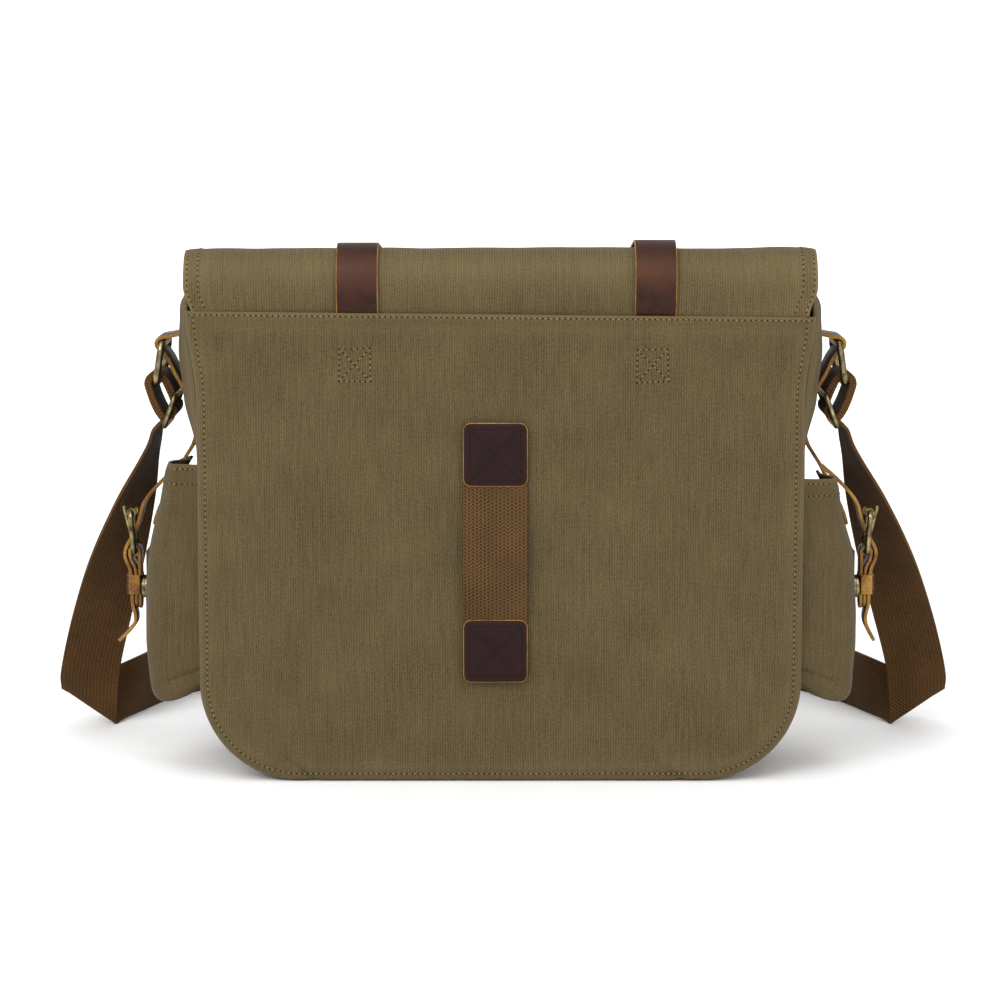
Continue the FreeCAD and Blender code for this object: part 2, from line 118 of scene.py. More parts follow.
def curveThrough(points, step):
    # evenly spaced points along a smooth line through the given ones
    points = [Vector(p) for p in points]
    ends = withEnds(points)
    dense = [
        spline(a, b, c, d, i / 40)
        for a, b, c, d in zip(ends, ends[1:], ends[2:], ends[3:])
        for i in range(40)
    ]
    dense.append(points[-1])
    travelled = lengthsAlong(dense)
    count = max(2, round(travelled[-1] / step))
    even, k = [], 0
    for i in range(count + 1):
        goal = travelled[-1] * i / count
        while k < len(dense) - 2 and travelled[k + 1] < goal:
            k += 1
        run = travelled[k + 1] - travelled[k]
        even.append(dense[k].lerp(dense[k + 1], (goal - travelled[k]) / run if run else 0))
    return even


def setMode(mode):
    if bpy.context.object and bpy.context.object.mode != mode:
        bpy.ops.object.mode_set(mode=mode)


def pick(obj):
    # selects this object only, so that an operator acts on nothing else
    setMode("OBJECT")
    bpy.ops.object.select_all(action="DESELECT")
    bpy.context.view_layer.objects.active = obj
    obj.select_set(True)
    return obj


def added(name):
    # names the primitive that has just been added and moves its place into its mesh
    obj = bpy.context.object
    obj.name = obj.data.name = name
    pick(obj)
    bpy.ops.object.transform_apply(location=True, rotation=True, scale=True)
    return obj


def choose(obj, kind, wanted):
    # enters edit mode with the faces or edges selected that are wanted
    pick(obj)
    setMode("EDIT")
    bpy.ops.mesh.select_mode(type=kind)
    bpy.ops.mesh.select_all(action="DESELECT")
    mesh = bmesh.from_edit_mesh(obj.data)
    for element in mesh.faces if kind == "FACE" else mesh.edges:
        element.select = wanted(element)
    bmesh.update_edit_mesh(obj.data)


def modify(obj, kind, **settings):
    pick(obj)
    modifier = obj.modifiers.new(kind.title(), kind)
    for key, value in settings.items():
        setattr(modifier, key, value)
    bpy.ops.object.modifier_apply(modifier=modifier.name)
    return obj


def joined(name, pieces):
    pick(pieces[0])
    for piece in pieces:
        piece.select_set(True)
    if len(pieces) > 1:
        bpy.ops.object.join()
    pieces[0].name = pieces[0].data.name = name
    return pieces[0]


def shadeSmooth(obj, angle=40):
    pick(obj)
    bpy.ops.object.shade_smooth_by_angle(angle=math.radians(angle))
    return obj


def paint(obj, *materials):
    obj.data.materials.clear()
    for material in materials:
        obj.data.materials.append(material)
    return obj


# materials
def linear(hexCode, alpha=1.0):
    channels = []
    for i in (0, 2, 4):
        c = int(hexCode[i : i + 2], 16) / 255
        channels.append(c / 12.92 if c <= 0.04045 else ((c + 0.055) / 1.055) ** 2.4)
    return (*channels, alpha)


def feed(node, inputs):
    # each input takes a number, a colour, or the socket of the node before it
    for key, value in inputs.items() if isinstance(inputs, dict) else enumerate(inputs):
        if isinstance(value, bpy.types.NodeSocket):
            node.id_data.links.new(value, node.inputs[key])
        else:
            node.inputs[key].default_value = value


def addNode(tree, kind, inputs=(), out=0, **settings):
    # adds a node with its settings and links, and gives the output that is wanted
    node = tree.nodes.new("ShaderNode" + kind)
    for key, value in settings.items():
        setattr(node, key, value)
    feed(node, inputs)
    return node.outputs[out]


def startMaterial(name, **shader):
    material = bpy.data.materials.new(name)
    material.use_nodes = True
    surface = material.node_tree.nodes["Principled BSDF"]
    feed(surface, shader)
    return material, material.node_tree, surface


def waveScale(period):
    # a Wave texture repeats every 0.314 / scale
    return 0.31416 / period


def clothCoordinates(tree):
    # the piece's own flat cut, in millimetres
    cut = addNode(tree, "UVMap", uv_map="flat")
    return addNode(tree, "VectorMath", (cut, (1000, 1000, 1000)), operation="MULTIPLY")


def wearMask(tree):
    # 1 where the piece's own "wear" attribute says that seams and folds have rubbed
    return addNode(tree, "Attribute", (), "Fac", attribute_name="wear")


def cottonCanvas(name, dark, light, worn):
    # washed cotton canvas: matt, with a fine rib along the warp, and paler rubbed edges
    material, tree, surface = startMaterial(
        name, **{"Sheen Weight": 0.04, "Sheen Roughness": 0.6, "Specular IOR Level": 0.2}
    )
    cut = clothCoordinates(tree)
    # real threads are 0.6 mm apart; drawn at 1.5 and 1.2 mm so that the weave can be seen
    warp, weft = (
        addNode(
            tree, "TexWave",
            {
                "Vector": cut, "Scale": waveScale(period), "Distortion": distortion,
                "Detail": 2.0, "Detail Scale": fineness,
            },
            "Fac", bands_direction=direction,
        )
        for direction, period, distortion, fineness in (("X", 1.5, 1.6, 0.35), ("Y", 1.2, 0.9, 0.6))
    )
    hollows = addNode(tree, "MapRange", (weft, 0, 1, 0.45, 1))
    weave = addNode(tree, "Math", (warp, hollows), operation="MULTIPLY")
    along = addNode(tree, "Mapping", {"Vector": cut, "Scale": (0.5, 0.04, 1)})
    slubs, cloud, speck = (
        addNode(
            tree, "TexNoise",
            {"Vector": place, "Scale": scale, "Detail": detail, "Roughness": roughness}, "Fac",
        )
        for place, scale, detail, roughness in (
            (along, 1.0, 3.0, 0.6), (cut, 1 / 45, 4.0, 0.55), (cut, 1 / 1.3, 1.0, 0.5)
        )
    )
    tone = addNode(tree, "MapRange", (weave, 0, 1, -0.24, 0.3))
    for source, low, high in ((slubs, -0.14, 0.14), (cloud, 0.38, 0.62), (speck, -0.2, 0.2)):
        share = addNode(tree, "MapRange", (source, 0.3, 0.7, low, high))
        tone = addNode(tree, "Math", (tone, share))
    dyed = addNode(tree, "Mix", {0: tone, 6: linear(dark), 7: linear(light)}, 2, data_type="RGBA")
    rubbed = addNode(tree, "Math", (wearMask(tree), 0.55), operation="MULTIPLY")
    knots = addNode(tree, "MapRange", (slubs, 0.3, 0.7, -0.3, 0.3))
    height = addNode(tree, "Math", (addNode(tree, "MapRange", (weave, 0, 1, 0, 1)), knots))
    feed(surface, {
        "Base Color": addNode(
            tree, "Mix", {0: rubbed, 6: dyed, 7: linear(worn)}, 2, data_type="RGBA"
        ),
        "Roughness": addNode(tree, "MapRange", (tone, 0, 1, 0.95, 0.82)),
        "Normal": addNode(
            tree, "Bump", {"Strength": 0.75, "Distance": 0.16 * mm, "Height": height}
        ),
    })
    return material


def cottonWebbing(name, dark, light, pitch, wale):
    # heavy cotton webbing: its twill rows are 2 mm apart, and turn back after each wale
    material, tree, surface = startMaterial(
        name, **{"Sheen Weight": 0.02, "Roughness": 0.85, "Specular IOR Level": 0.15}
    )
    cut = clothCoordinates(tree)
    across, along = (addNode(tree, "SeparateXYZ", (cut,), axis) for axis in "XY")
    fold = addNode(tree, "Math", (across, wale), operation="PINGPONG")
    lean = addNode(tree, "Math", (fold, 0.9), operation="MULTIPLY")
    slope = addNode(tree, "Math", (along, lean))
    rows = addNode(tree, "CombineXYZ", (slope, across))
    twill = addNode(
        tree, "TexWave",
        {"Vector": rows, "Scale": waveScale(pitch), "Distortion": 0.5, "Detail": 1.0},
        "Fac", bands_direction="X",
    )
    ribs = addNode(
        tree, "TexWave", {"Vector": cut, "Scale": waveScale(2.3), "Distortion": 0.3},
        "Fac", bands_direction="X",
    )
    fibre = addNode(tree, "TexNoise", {"Vector": cut, "Scale": 1.4, "Detail": 2.0}, "Fac")
    cloud = addNode(tree, "TexNoise", {"Vector": cut, "Scale": 1 / 30, "Detail": 3.0}, "Fac")
    tone = addNode(tree, "MapRange", (twill, 0, 1, 0.05, 0.6))
    for span in (
        (ribs, 0, 1, -0.1, 0.2), (fibre, 0.3, 0.7, -0.12, 0.12), (cloud, 0.3, 0.7, -0.12, 0.12),
    ):
        tone = addNode(tree, "Math", (tone, addNode(tree, "MapRange", span)))
    rubbed = addNode(tree, "Math", (wearMask(tree), 0.25), operation="MULTIPLY")
    tone = addNode(tree, "Math", (tone, rubbed))
    height = addNode(tree, "Math", (twill, addNode(tree, "MapRange", (ribs, 0, 1, 0, 0.5))))
    feed(surface, {
        "Base Color": addNode(
            tree, "Mix", {0: tone, 6: linear(dark), 7: linear(light)}, 2, data_type="RGBA"
        ),
        "Normal": addNode(tree, "Bump", {"Strength": 0.9, "Distance": 0.3 * mm, "Height": height}),
    })
    return material


def waxedLeather(name, dark, light, pale):
    # oiled pull-up leather: soft sheen, fine pores, paler where it has been bent
    material, tree, surface = startMaterial(
        name, **{"Coat Weight": 0.02, "Coat Roughness": 0.4, "Specular IOR Level": 0.16}
    )
    place = addNode(tree, "TexCoord", (), "Object")
    cloud, scuffs = (
        addNode(
            tree, "TexNoise",
            {"Vector": place, "Scale": 1 / (size * mm), "Detail": detail, "Roughness": roughness},
            "Fac",
        )
        for size, detail, roughness in ((16, 5.0, 0.6), (4, 6.0, 0.75))
    )
    pores = addNode(tree, "TexVoronoi", {"Vector": place, "Scale": 1 / (1.1 * mm)}, "Distance")
    patches = addNode(tree, "MapRange", (cloud, 0.3, 0.7, 0, 1))
    dyes = {0: patches, 6: linear(dark), 7: linear(light)}
    dyed = addNode(tree, "Mix", dyes, 2, data_type="RGBA")
    scraped = addNode(tree, "MapRange", (scuffs, 0.58, 0.8, 0, 0.35))
    rubbed = addNode(tree, "Math", (wearMask(tree), scraped))
    height = addNode(tree, "Math", (
        addNode(tree, "MapRange", (pores, 0, 0.6, 0, 0.5)),
        addNode(tree, "MapRange", (scuffs, 0.3, 0.7, 0, 0.6)),
    ))
    feed(surface, {
        "Base Color": addNode(
            tree, "Mix", {0: rubbed, 6: dyed, 7: linear(pale)}, 2, data_type="RGBA"
        ),
        "Roughness": addNode(tree, "MapRange", (cloud, 0.3, 0.7, 0.5, 0.68)),
        "Normal": addNode(tree, "Bump", {"Strength": 0.5, "Distance": 0.12 * mm, "Height": height}),
    })
    return material


def rawLeatherEdge(name, dark, light):
    # the cut side of the leather: undyed tan fibres, matt
    material, tree, surface = startMaterial(name, Roughness=0.8)
    place = addNode(tree, "TexCoord", (), "Object")
    fibre, stain = (
        addNode(
            tree, "TexNoise", {"Vector": place, "Scale": 1 / (size * mm), "Detail": detail}, "Fac"
        )
        for size, detail in ((1.5, 4.0), (12, 2.0))
    )
    tone = addNode(tree, "Math", (
        addNode(tree, "MapRange", (fibre, 0.3, 0.7, -0.2, 0.3)),
        addNode(tree, "MapRange", (stain, 0.3, 0.7, 0.1, 0.8)),
    ))
    feed(surface, {
        "Base Color": addNode(
            tree, "Mix", {0: tone, 6: linear(dark), 7: linear(light)}, 2, data_type="RGBA"
        ),
        "Normal": addNode(tree, "Bump", {"Strength": 0.5, "Distance": 0.1 * mm, "Height": fibre}),
    })
    return material


def antiqueBrass(name, dark, light, glancing):
    # brass plate darkened and relieved: warm grey-yellow, duller in its patches
    material, tree, surface = startMaterial(
        name, **{"Metallic": 1.0, "Specular Tint": linear(glancing)}
    )
    place = addNode(tree, "TexCoord", (), "Object")
    patina = addNode(
        tree, "TexNoise",
        {"Vector": place, "Scale": 1 / (5 * mm), "Detail": 4.0, "Roughness": 0.65}, "Fac",
    )
    grain = addNode(
        tree, "TexNoise", {"Vector": place, "Scale": 1 / (0.8 * mm), "Detail": 2.0}, "Fac"
    )
    relieved = addNode(tree, "MapRange", (patina, 0.35, 0.65, 0, 1))
    feed(surface, {
        "Base Color": addNode(
            tree, "Mix", {0: relieved, 6: linear(dark), 7: linear(light)}, 2, data_type="RGBA"
        ),
        "Roughness": addNode(tree, "MapRange", (patina, 0.35, 0.65, 0.42, 0.24)),
        "Normal": addNode(tree, "Bump", {"Strength": 0.15, "Distance": 0.05 * mm, "Height": grain}),
    })
    return material


def spunThread(name, shade, glow):
    # waxed sewing thread, with its twist too fine to draw
    material, tree, surface = startMaterial(name, **{"Roughness": 0.8, "Specular IOR Level": 0.15})
    place = addNode(tree, "TexCoord", (), "Object")
    twist = addNode(
        tree, "TexNoise", {"Vector": place, "Scale": 1 / (2.5 * mm), "Detail": 2.0}, "Fac"
    )
    tone = addNode(tree, "MapRange", (twist, 0.3, 0.7, 0, 1))
    feed(surface, {
        "Base Color": addNode(
            tree, "Mix", {0: tone, 6: linear(shade), 7: linear(glow)}, 2, data_type="RGBA"
        ),
    })
    return material


def pressedBoard(name, shade, glow):
    # a stiff moulded plastic board with a fine haircell
    material, tree, surface = startMaterial(name, Roughness=0.6)
    place = addNode(tree, "TexCoord", (), "Object")
    cells = addNode(tree, "TexVoronoi", {"Vector": place, "Scale": 1 / (1.5 * mm)}, "Distance")
    feed(surface, {
        "Base Color": addNode(
            tree, "Mix", {0: cells, 6: linear(shade), 7: linear(glow)}, 2, data_type="RGBA"
        ),
        "Normal": addNode(tree, "Bump", {"Strength": 0.4, "Distance": 0.1 * mm, "Height": cells}),
    })
    return material


canvas = cottonCanvas("olive cotton canvas", "3d321d", "625437", "6f6040")
flapCanvas = cottonCanvas("flap canvas", "413621", "685a3c", "766746")
pocketCanvas = cottonCanvas("pocket canvas", "3d311c", "615336", "6e5f40")
liningCloth = cottonCanvas("lining cotton", "382c1d", "544531", "62533f")
webbing = cottonWebbing("brown cotton webbing", "33210f", "6a4f2f", 2.15, 2.3)
strapWebbing = cottonWebbing("shoulder strap webbing", "2c1c0b", "644420", 2.0, 400.0)
leather = waxedLeather("waxed brown leather", "220e09", "3d2016", "553624")
patchLeather = waxedLeather("waxed dark leather", "160507", "230b0d", "321514")
rawEdge = rawLeatherEdge("raw leather edge", "5f3a10", "a97c30")
brass = antiqueBrass("antique brass", "4a4030", "a3956f", "b3a27c")
tanThread = spunThread("tan thread", "695a3b", "8f7c58")
darkThread = spunThread("dark thread", "150e0c", "2a1c17")
# painted shade: the colour of the dark beads that stand for the shadow inside needle holes
holeShadow = spunThread("needle hole painted shade", "171108", "221a0e")
stiffBoard = pressedBoard("black board", "141414", "222222")
print("materials ready")


# stage
studio = {
    "azimuth": 180.0,
    "elevation": 8.0,
    "distance": 1.8,
    "aim": (0.0, 0.055, 0.1705),
    "lens": 109.4,
    "floor": 14.0,
    "floorReach": 300.0,
    "wall": 6.0,
    "wallBend": 2.0,
    "sky": 0.62,
    "softboxes": {  # place, aim, size, power
        "key": ((1.3, 2.4, 1.7), (0, 0, 0.15), 1.4, 34),
        "fill": ((-1.7, 2.2, 1.1), (0, 0, 0.15), 1.4, 20),
        "backdrop": ((0, -3.0, 4.6), (0, -7.5, 1.2), 4.0, 190),
    },
    "sun": ((0.25, 0.75, 1.3), 1.5),
    "sunAngle": 70.0,
}


def aimAlong(lamp, way):
    lamp.rotation_mode = "QUATERNION"
    lamp.rotation_quaternion = way.to_track_quat("-Z", "Y")


def makeStudio():
    back = math.radians(studio["azimuth"])
    tilt = math.radians(studio["elevation"])
    away = Vector(
        (math.sin(back) * math.cos(tilt), -math.cos(back) * math.cos(tilt), math.sin(tilt))
    )
    bpy.ops.object.camera_add(location=Vector(studio["aim"]) + away * studio["distance"])
    camera = bpy.context.object
    aimAlong(camera, -away)
    camera.data.lens = studio["lens"]
    camera.data.sensor_width = 36
    bpy.context.scene.camera = camera

    world = bpy.data.worlds.new("studio")
    world.use_nodes = True
    feed(world.node_tree.nodes["Background"], {"Color": (1, 1, 1, 1), "Strength": studio["sky"]})
    bpy.context.scene.world = world
    bpy.context.scene.view_settings.view_transform = "Standard"

    for name, (place, aim, size, power) in studio["softboxes"].items():
        bpy.ops.object.light_add(type="AREA", location=place)
        lamp = bpy.context.object
        lamp.name = name
        lamp.data.size = size
        lamp.data.energy = power
        aimAlong(lamp, Vector(aim) - Vector(place))
    place, strength = studio["sun"]
    bpy.ops.object.light_add(type="SUN", location=place)
    sun = bpy.context.object
    sun.data.energy = strength
    sun.data.angle = math.radians(studio["sunAngle"])
    aimAlong(sun, -Vector(place))

    bpy.ops.mesh.primitive_plane_add(size=studio["floor"])
    floor = added("floor")
    reach, wallPlace = studio["floorReach"], -studio["floor"] / 2
    for vert in floor.data.vertices:
        vert.co.x = math.copysign(reach, vert.co.x)
        vert.co.y = reach if vert.co.y > 0 else vert.co.y
    choose(floor, "EDGE", lambda edge: all(v.co.y < wallPlace + 0.01 for v in edge.verts))
    bpy.ops.mesh.extrude_edges_move(TRANSFORM_OT_translate={"value": (0, 0, studio["wall"])})
    setMode("OBJECT")
    modify(floor, "BEVEL", width=studio["wallBend"], segments=16, limit_method="ANGLE")
    shadeSmooth(floor)
    paper, tree, surface = startMaterial("backdrop paper", Roughness=0.9)
    place = addNode(tree, "TexCoord", (), "Object")
    grain = addNode(tree, "TexNoise", {"Vector": place, "Scale": 40.0}, "Fac")
    shades = {0: grain, 6: linear("f4f4f4"), 7: linear("fbfbfb")}
    feed(surface, {"Base Color": addNode(tree, "Mix", shades, 2, data_type="RGBA")})
    paint(floor, paper)


makeStudio()
print("studio ready")


# cloth, strips and stitches
def clothGrid(name, columns, rows, place, inside=insideBag):
    # place(u, v) gives the point, its place on the flat cut, and how worn it is
    points, cuts, worn = [], [], []
    for v in rows:
        for u in columns:
            point, cut, wear = place(u, v)
            points.append(point)
            cuts.append(cut)
            worn.append(wear)
    wide = len(columns)
    faces = [
        (j * wide + i, j * wide + i + 1, (j + 1) * wide + i + 1, (j + 1) * wide + i)
        for j in range(len(rows) - 1)
        for i in range(wide - 1)
    ]
    outward = 0
    for a, b, c, d in faces[:: max(1, len(faces) // 400)]:
        normal = (points[c] - points[a]).cross(points[d] - points[b])
        outward += normal.dot(points[a] - inside)
    if outward < 0:
        faces = [face[::-1] for face in faces]
    mesh = bpy.data.meshes.new(name)
    mesh.from_pydata(points, [], faces)
    flat = mesh.uv_layers.new(name="flat")
    for loop in mesh.loops:
        flat.data[loop.index].uv = cuts[loop.vertex_index]
    rub = mesh.attributes.new("wear", "FLOAT", "POINT")
    rub.data.foreach_set("value", worn)
    obj = bpy.data.objects.new(name, mesh)
    bpy.context.scene.collection.objects.link(obj)
    for face in mesh.polygons:
        face.use_smooth = True
    return obj


def thicken(obj, thickness, rim=0, offset=-1, arris=0.0, even=True):
    # rim is how many slots on from the face its cut side is
    modify(
        obj, "SOLIDIFY", thickness=thickness, offset=offset, use_even_offset=even,
        use_quality_normals=True, material_offset_rim=rim,
    )
    if arris:
        modify(
            obj, "BEVEL", width=arris, segments=2, limit_method="ANGLE",
            angle_limit=math.radians(50), material=1 if rim else -1,
        )
    return obj


def partAt(obj, isFirst, firstName, secondName):
    # parts a strip in two where isFirst(point) ends, and closes both cut ends
    choose(obj, "FACE", lambda face: isFirst(face.calc_center_median()))
    bpy.ops.mesh.separate(type="SELECTED")
    setMode("OBJECT")
    first = next(o for o in bpy.context.selected_objects if o is not obj)
    for part, name in ((first, firstName), (obj, secondName)):
        pick(part)
        part.name = part.data.name = name
        setMode("EDIT")
        bpy.ops.mesh.select_mode(type="EDGE")
        bpy.ops.mesh.select_all(action="DESELECT")
        bpy.ops.mesh.select_non_manifold(
            use_wire=False, use_boundary=True, use_multi_face=False, use_non_contiguous=False,
            use_verts=False,
        )
        bpy.ops.mesh.edge_face_add()
        setMode("OBJECT")
        shadeSmooth(part, 35)
    return first, obj


def stripMesh(name, path, across, width, thickness, skin, widths=None, wear=None):
    # a strip is drawn edge by edge along its path, then thickened; skin is its face and cut side
    half = Vector(across).normalized() * (width / 2)
    bpy.ops.object.select_all(action="DESELECT")
    bpy.ops.mesh.primitive_plane_add(size=1)
    strip = bpy.context.object
    strip.name = strip.data.name = name
    paint(strip, *skin)
    shares = widths or [1.0] * len(path)
    setMode("EDIT")
    bpy.ops.mesh.select_mode(type="EDGE")
    bpy.ops.mesh.select_all(action="DESELECT")
    mesh = bmesh.from_edit_mesh(strip.data)
    mesh.verts.ensure_lookup_table()
    loop = [corner.vert for corner in mesh.faces[:][0].loops]
    for vert, (i, side) in zip(loop, ((0, -1), (0, 1), (1, 1), (1, -1))):
        vert.co = path[i] + half * shares[i] * side
    for edge in mesh.edges:
        edge.select = set(edge.verts) == {loop[2], loop[3]}
    bmesh.update_edit_mesh(strip.data)
    for i in range(1, len(path) - 1):
        step = path[i + 1] - path[i]
        bpy.ops.mesh.extrude_edges_move(TRANSFORM_OT_translate={"value": step})
        if abs(shares[i + 1] - shares[i]) > 1e-6:
            mesh = bmesh.from_edit_mesh(strip.data)
            for vert in [v for v in mesh.verts if v.select]:
                side = 1 if (vert.co - path[i + 1]).dot(half) > 0 else -1
                vert.co = path[i + 1] + half * shares[i + 1] * side
            bmesh.update_edit_mesh(strip.data)
    setMode("OBJECT")
    flatten(strip, path, half, width, wear)
    thicken(strip, thickness, rim=1, offset=0, arris=min(0.5 * mm, thickness / 4))
    return shadeSmooth(strip, 35)


def flatten(strip, path, half, width, wear):
    # the strip's flat cut: across in u, along in v, and its wear from place along the path
    travelled = lengthsAlong(path)
    side = half.normalized()
    data = strip.data
    if "flat" not in data.uv_layers:
        data.uv_layers.new(name="flat")
    for layer in list(data.uv_layers):
        if layer.name != "flat":
            data.uv_layers.remove(layer)
    flat = data.uv_layers["flat"]
    cuts, worn = [], []
    for vert in data.vertices:
        i = min(
            range(len(path)),
            key=lambda k: (path[k] - vert.co).length_squared - (vert.co - path[k]).dot(side) ** 2,
        )
        cuts.append(((vert.co - path[i]).dot(side) + width / 2, travelled[i]))
        worn.append(wear(travelled[i]) if wear else 0.0)
    for loop in data.loops:
        flat.data[loop.index].uv = cuts[loop.vertex_index]
    rub = data.attributes.new("wear", "FLOAT", "POINT")
    rub.data.foreach_set("value", worn)


def smoothTips(count, reach, shape=0.5):
    # widths for a strip whose last stretch narrows to a rounded tip
    places = [max(0.0, (i - (count - 1 - reach)) / reach) for i in range(count)]
    return [max(0.12, (1 - t**2) ** shape) for t in places]


bpy.ops.object.select_all(action="DESELECT")
bpy.ops.mesh.primitive_uv_sphere_add(segments=6, ring_count=4, radius=1)
bead = added("bead")
beadPoints = [v.co.copy() for v in bead.data.vertices]
beadFaces = [tuple(f.vertices) for f in bead.data.polygons]
bpy.data.objects.remove(bead)

stitch = {
    "pitch": 3.3 * mm,
    "length": 1.75 * mm,
    "radius": 0.36 * mm,
    # the needle holes are dark beads of painted shade: their size, their rise above the cloth and
    # their thickness
    "hole": 0.6 * mm,
    "holeRise": 0.14,
    "holeDepth": 0.16 * mm,
}


def sew(name, lines, thread=tanThread):
    # each line is a list of (point, outward normal); stitches follow it, and between them dark
    # beads of painted shade stand for the needle holes
    points, faces, slots = [], [], []

    def drop(middle, along, normal, sizes, slot):
        side = normal.cross(along).normalized()
        base = len(points)
        for p in beadPoints:
            points.append(
                middle + along * (p.x * sizes[0]) + side * (p.y * sizes[1])
                + normal * (p.z * sizes[2])
            )
        faces.extend(tuple(base + k for k in face) for face in beadFaces)
        slots.extend([slot] * len(beadFaces))

    radius, hole = stitch["radius"], stitch["hole"]
    for line in lines:
        travelled = lengthsAlong([point for point, normal in line])
        count = max(1, round(travelled[-1] / stitch["pitch"]))
        k = 0
        for i in range(2 * count + 1):
            goal = travelled[-1] * i / (2 * count)
            while k < len(line) - 2 and travelled[k + 1] < goal:
                k += 1
            run = max(travelled[k + 1] - travelled[k], 1e-9)
            share = (goal - travelled[k]) / run
            point = line[k][0].lerp(line[k + 1][0], share)
            normal = line[k][1].lerp(line[k + 1][1], share).normalized()
            along = (line[k + 1][0] - line[k][0]).normalized()
            along = (along - normal * along.dot(normal)).normalized()
            wobble = noise.noise(point * 900)
            if i % 2:
                tilt = (along + normal.cross(along) * wobble * 0.25).normalized()
                middle = point + normal * radius * (0.25 + 0.5 * wobble)
                drop(middle, tilt, normal, (stitch["length"] / 2, radius, radius * 0.8), 0)
            else:
                # a needle hole: a dark bead on the cloth, its shadow painted rather than cut
                middle = point + normal * stitch["holeRise"] * mm
                drop(middle, along, normal, (hole * 0.8, hole, stitch["holeDepth"]), 1)
    mesh = bpy.data.meshes.new(name)
    mesh.from_pydata(points, [], faces)
    obj = bpy.data.objects.new(name, mesh)
    bpy.context.scene.collection.objects.link(obj)
    paint(obj, thread, holeShadow)
    mesh.polygons.foreach_set("material_index", slots)
    for face in mesh.polygons:
        face.use_smooth = True
    return obj


# the bag's body
body = {
    "corner": 60 * mm,
    "edgeRoll": 6 * mm,
    "crown": 5 * mm,
    "waist": 1.0 * mm,
    "shoulder": 5.5 * mm,
    "sideBulge": 3.0 * mm,
    "gussetFlare": 7.5 * mm,
    "cloth": 1.6 * mm,
    "lip": 1.3 * mm,
    "pulls": [  # soft folds near the top: place, and how far they lean
        (-120 * mm, 205 * mm, 0.9), (-95 * mm, 175 * mm, 0.7), (118 * mm, 190 * mm, -0.8),
    ],
    "dents": [(117 * mm, 5 * mm), (-106 * mm, 3 * mm)],
}


def panelTop(u):
    # the seam under the flap isn't quite level
    return seamTop + 0.9 * mm + 1.8 * mm * u


def panelHalf(z):
    # half the panel's width at this height: round lower corners, a slight waist
    corner = body["corner"]
    half = bodyHalf - body["waist"] + body["shoulder"] * smooth(seamTop - 50 * mm, seamTop, z)
    if z < corner:
        half -= corner - math.sqrt(max(corner**2 - (corner - z) ** 2, 0))
    return half


def edgeDistance(x, z):
    corner = body["corner"]
    dx, dz = panelHalf(max(z, corner)) - abs(x), z
    if dx < corner and dz < corner:
        return max(0.0, corner - math.hypot(corner - dx, corner - dz))
    return max(0.0, min(dx, dz))


def edgeTurn(d):
    # how far the cloth turns away at this distance from the body's edge
    roll = body["edgeRoll"]
    return roll * (1 - math.sqrt(1 - (1 - d / roll) ** 2)) if d < roll else 0.0


def panelLift(x, z):
    # how far the panel's surface stands out from its flat face
    d = edgeDistance(x, z)
    crown = body["crown"] * (1 - (x / bodyHalf) ** 2) * smooth(0, 110 * mm, z)
    lift = crown * (1 - 0.6 * smooth(130 * mm, seamTop, z)) - edgeTurn(d)
    calm = smooth(4 * mm, 28 * mm, d)
    lift += calm * 1.3 * mm * ripple(x, 0, z * 0.7, 85 * mm, 3.1)
    lift += calm * 0.5 * mm * ripple(x, 0, z * 0.6, 30 * mm, 8.4)
    # small puckers that run in from the side seams, and long soft pulls near the top
    pucker = math.sin(z / (5.3 * mm) + 2 * ripple(x, 1, z, 40 * mm, 5))
    lift += 0.35 * mm * pucker * hump(d, 13 * mm, 9 * mm)
    for ax, az, lean in body["pulls"]:
        offset = (x - ax) * math.sin(lean) + (z - az) * math.cos(lean)
        along = (x - ax) * math.cos(lean) - (z - az) * math.sin(lean)
        lift += 0.55 * mm * hump(offset, 0, 5 * mm) * hump(along, 0, 38 * mm)
    lift += 0.45 * mm * hump(d, 9 * mm, 3 * mm) - 0.45 * mm * hump(d, 5.2 * mm, 1.2 * mm)
    return lift


def backPoint(x, z):
    return Vector((x, backFace + panelLift(x, z), z))


def lipRise(z):
    # the panel's folded upper edge lies over the flap
    return body["lip"] * smooth(seamTop - 8 * mm, seamTop - 2 * mm, z)


def makePanels():
    def back(u, v):
        z = panelTop(u) * v
        x = panelHalf(z) * u
        y = backFace + panelLift(x, z)
        y += lipRise(z)
        for px, pz in body["dents"]:
            y -= 2.2 * mm * hump(x - px, (z - pz) * 1.2, 2.6 * mm) * hump(z, pz, 9 * mm)
        d = min(edgeDistance(x, z), panelTop(u) - z)
        wear = 0.8 * hump(d, 0.0, 2.6 * mm) + 0.25 * hump(d, 8 * mm, 4 * mm)
        return Vector((x, y, max(z, 0.0))), (x, z), wear

    def front(u, v):
        z = (rimTop - 2 * mm) * v
        x = panelHalf(z) * u
        d = edgeDistance(x, z)
        y = frontFace - 0.5 * panelLift(x, min(z, seamTop)) * smooth(0, 20 * mm, z) + 0.5 * mm
        if d < body["edgeRoll"]:
            y = frontFace + edgeTurn(d)
        d = min(d, rimTop - z)
        return Vector((x, y, z)), (x, z), 0.7 * hump(d, 0.0, 3 * mm)

    columns = spreadBoth(130, 0.85)
    backPanel = clothGrid("back_panel_cloth", columns, spread(104, 0.6), back)
    frontPanel = clothGrid("front_panel_cloth", columns, spread(80, 0.6), front)
    for obj, node in ((backPanel, "back_panel"), (frontPanel, "front_panel")):
        thicken(obj, body["cloth"])
        paint(obj, canvas)
        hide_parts(node)
        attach(obj, "bag")


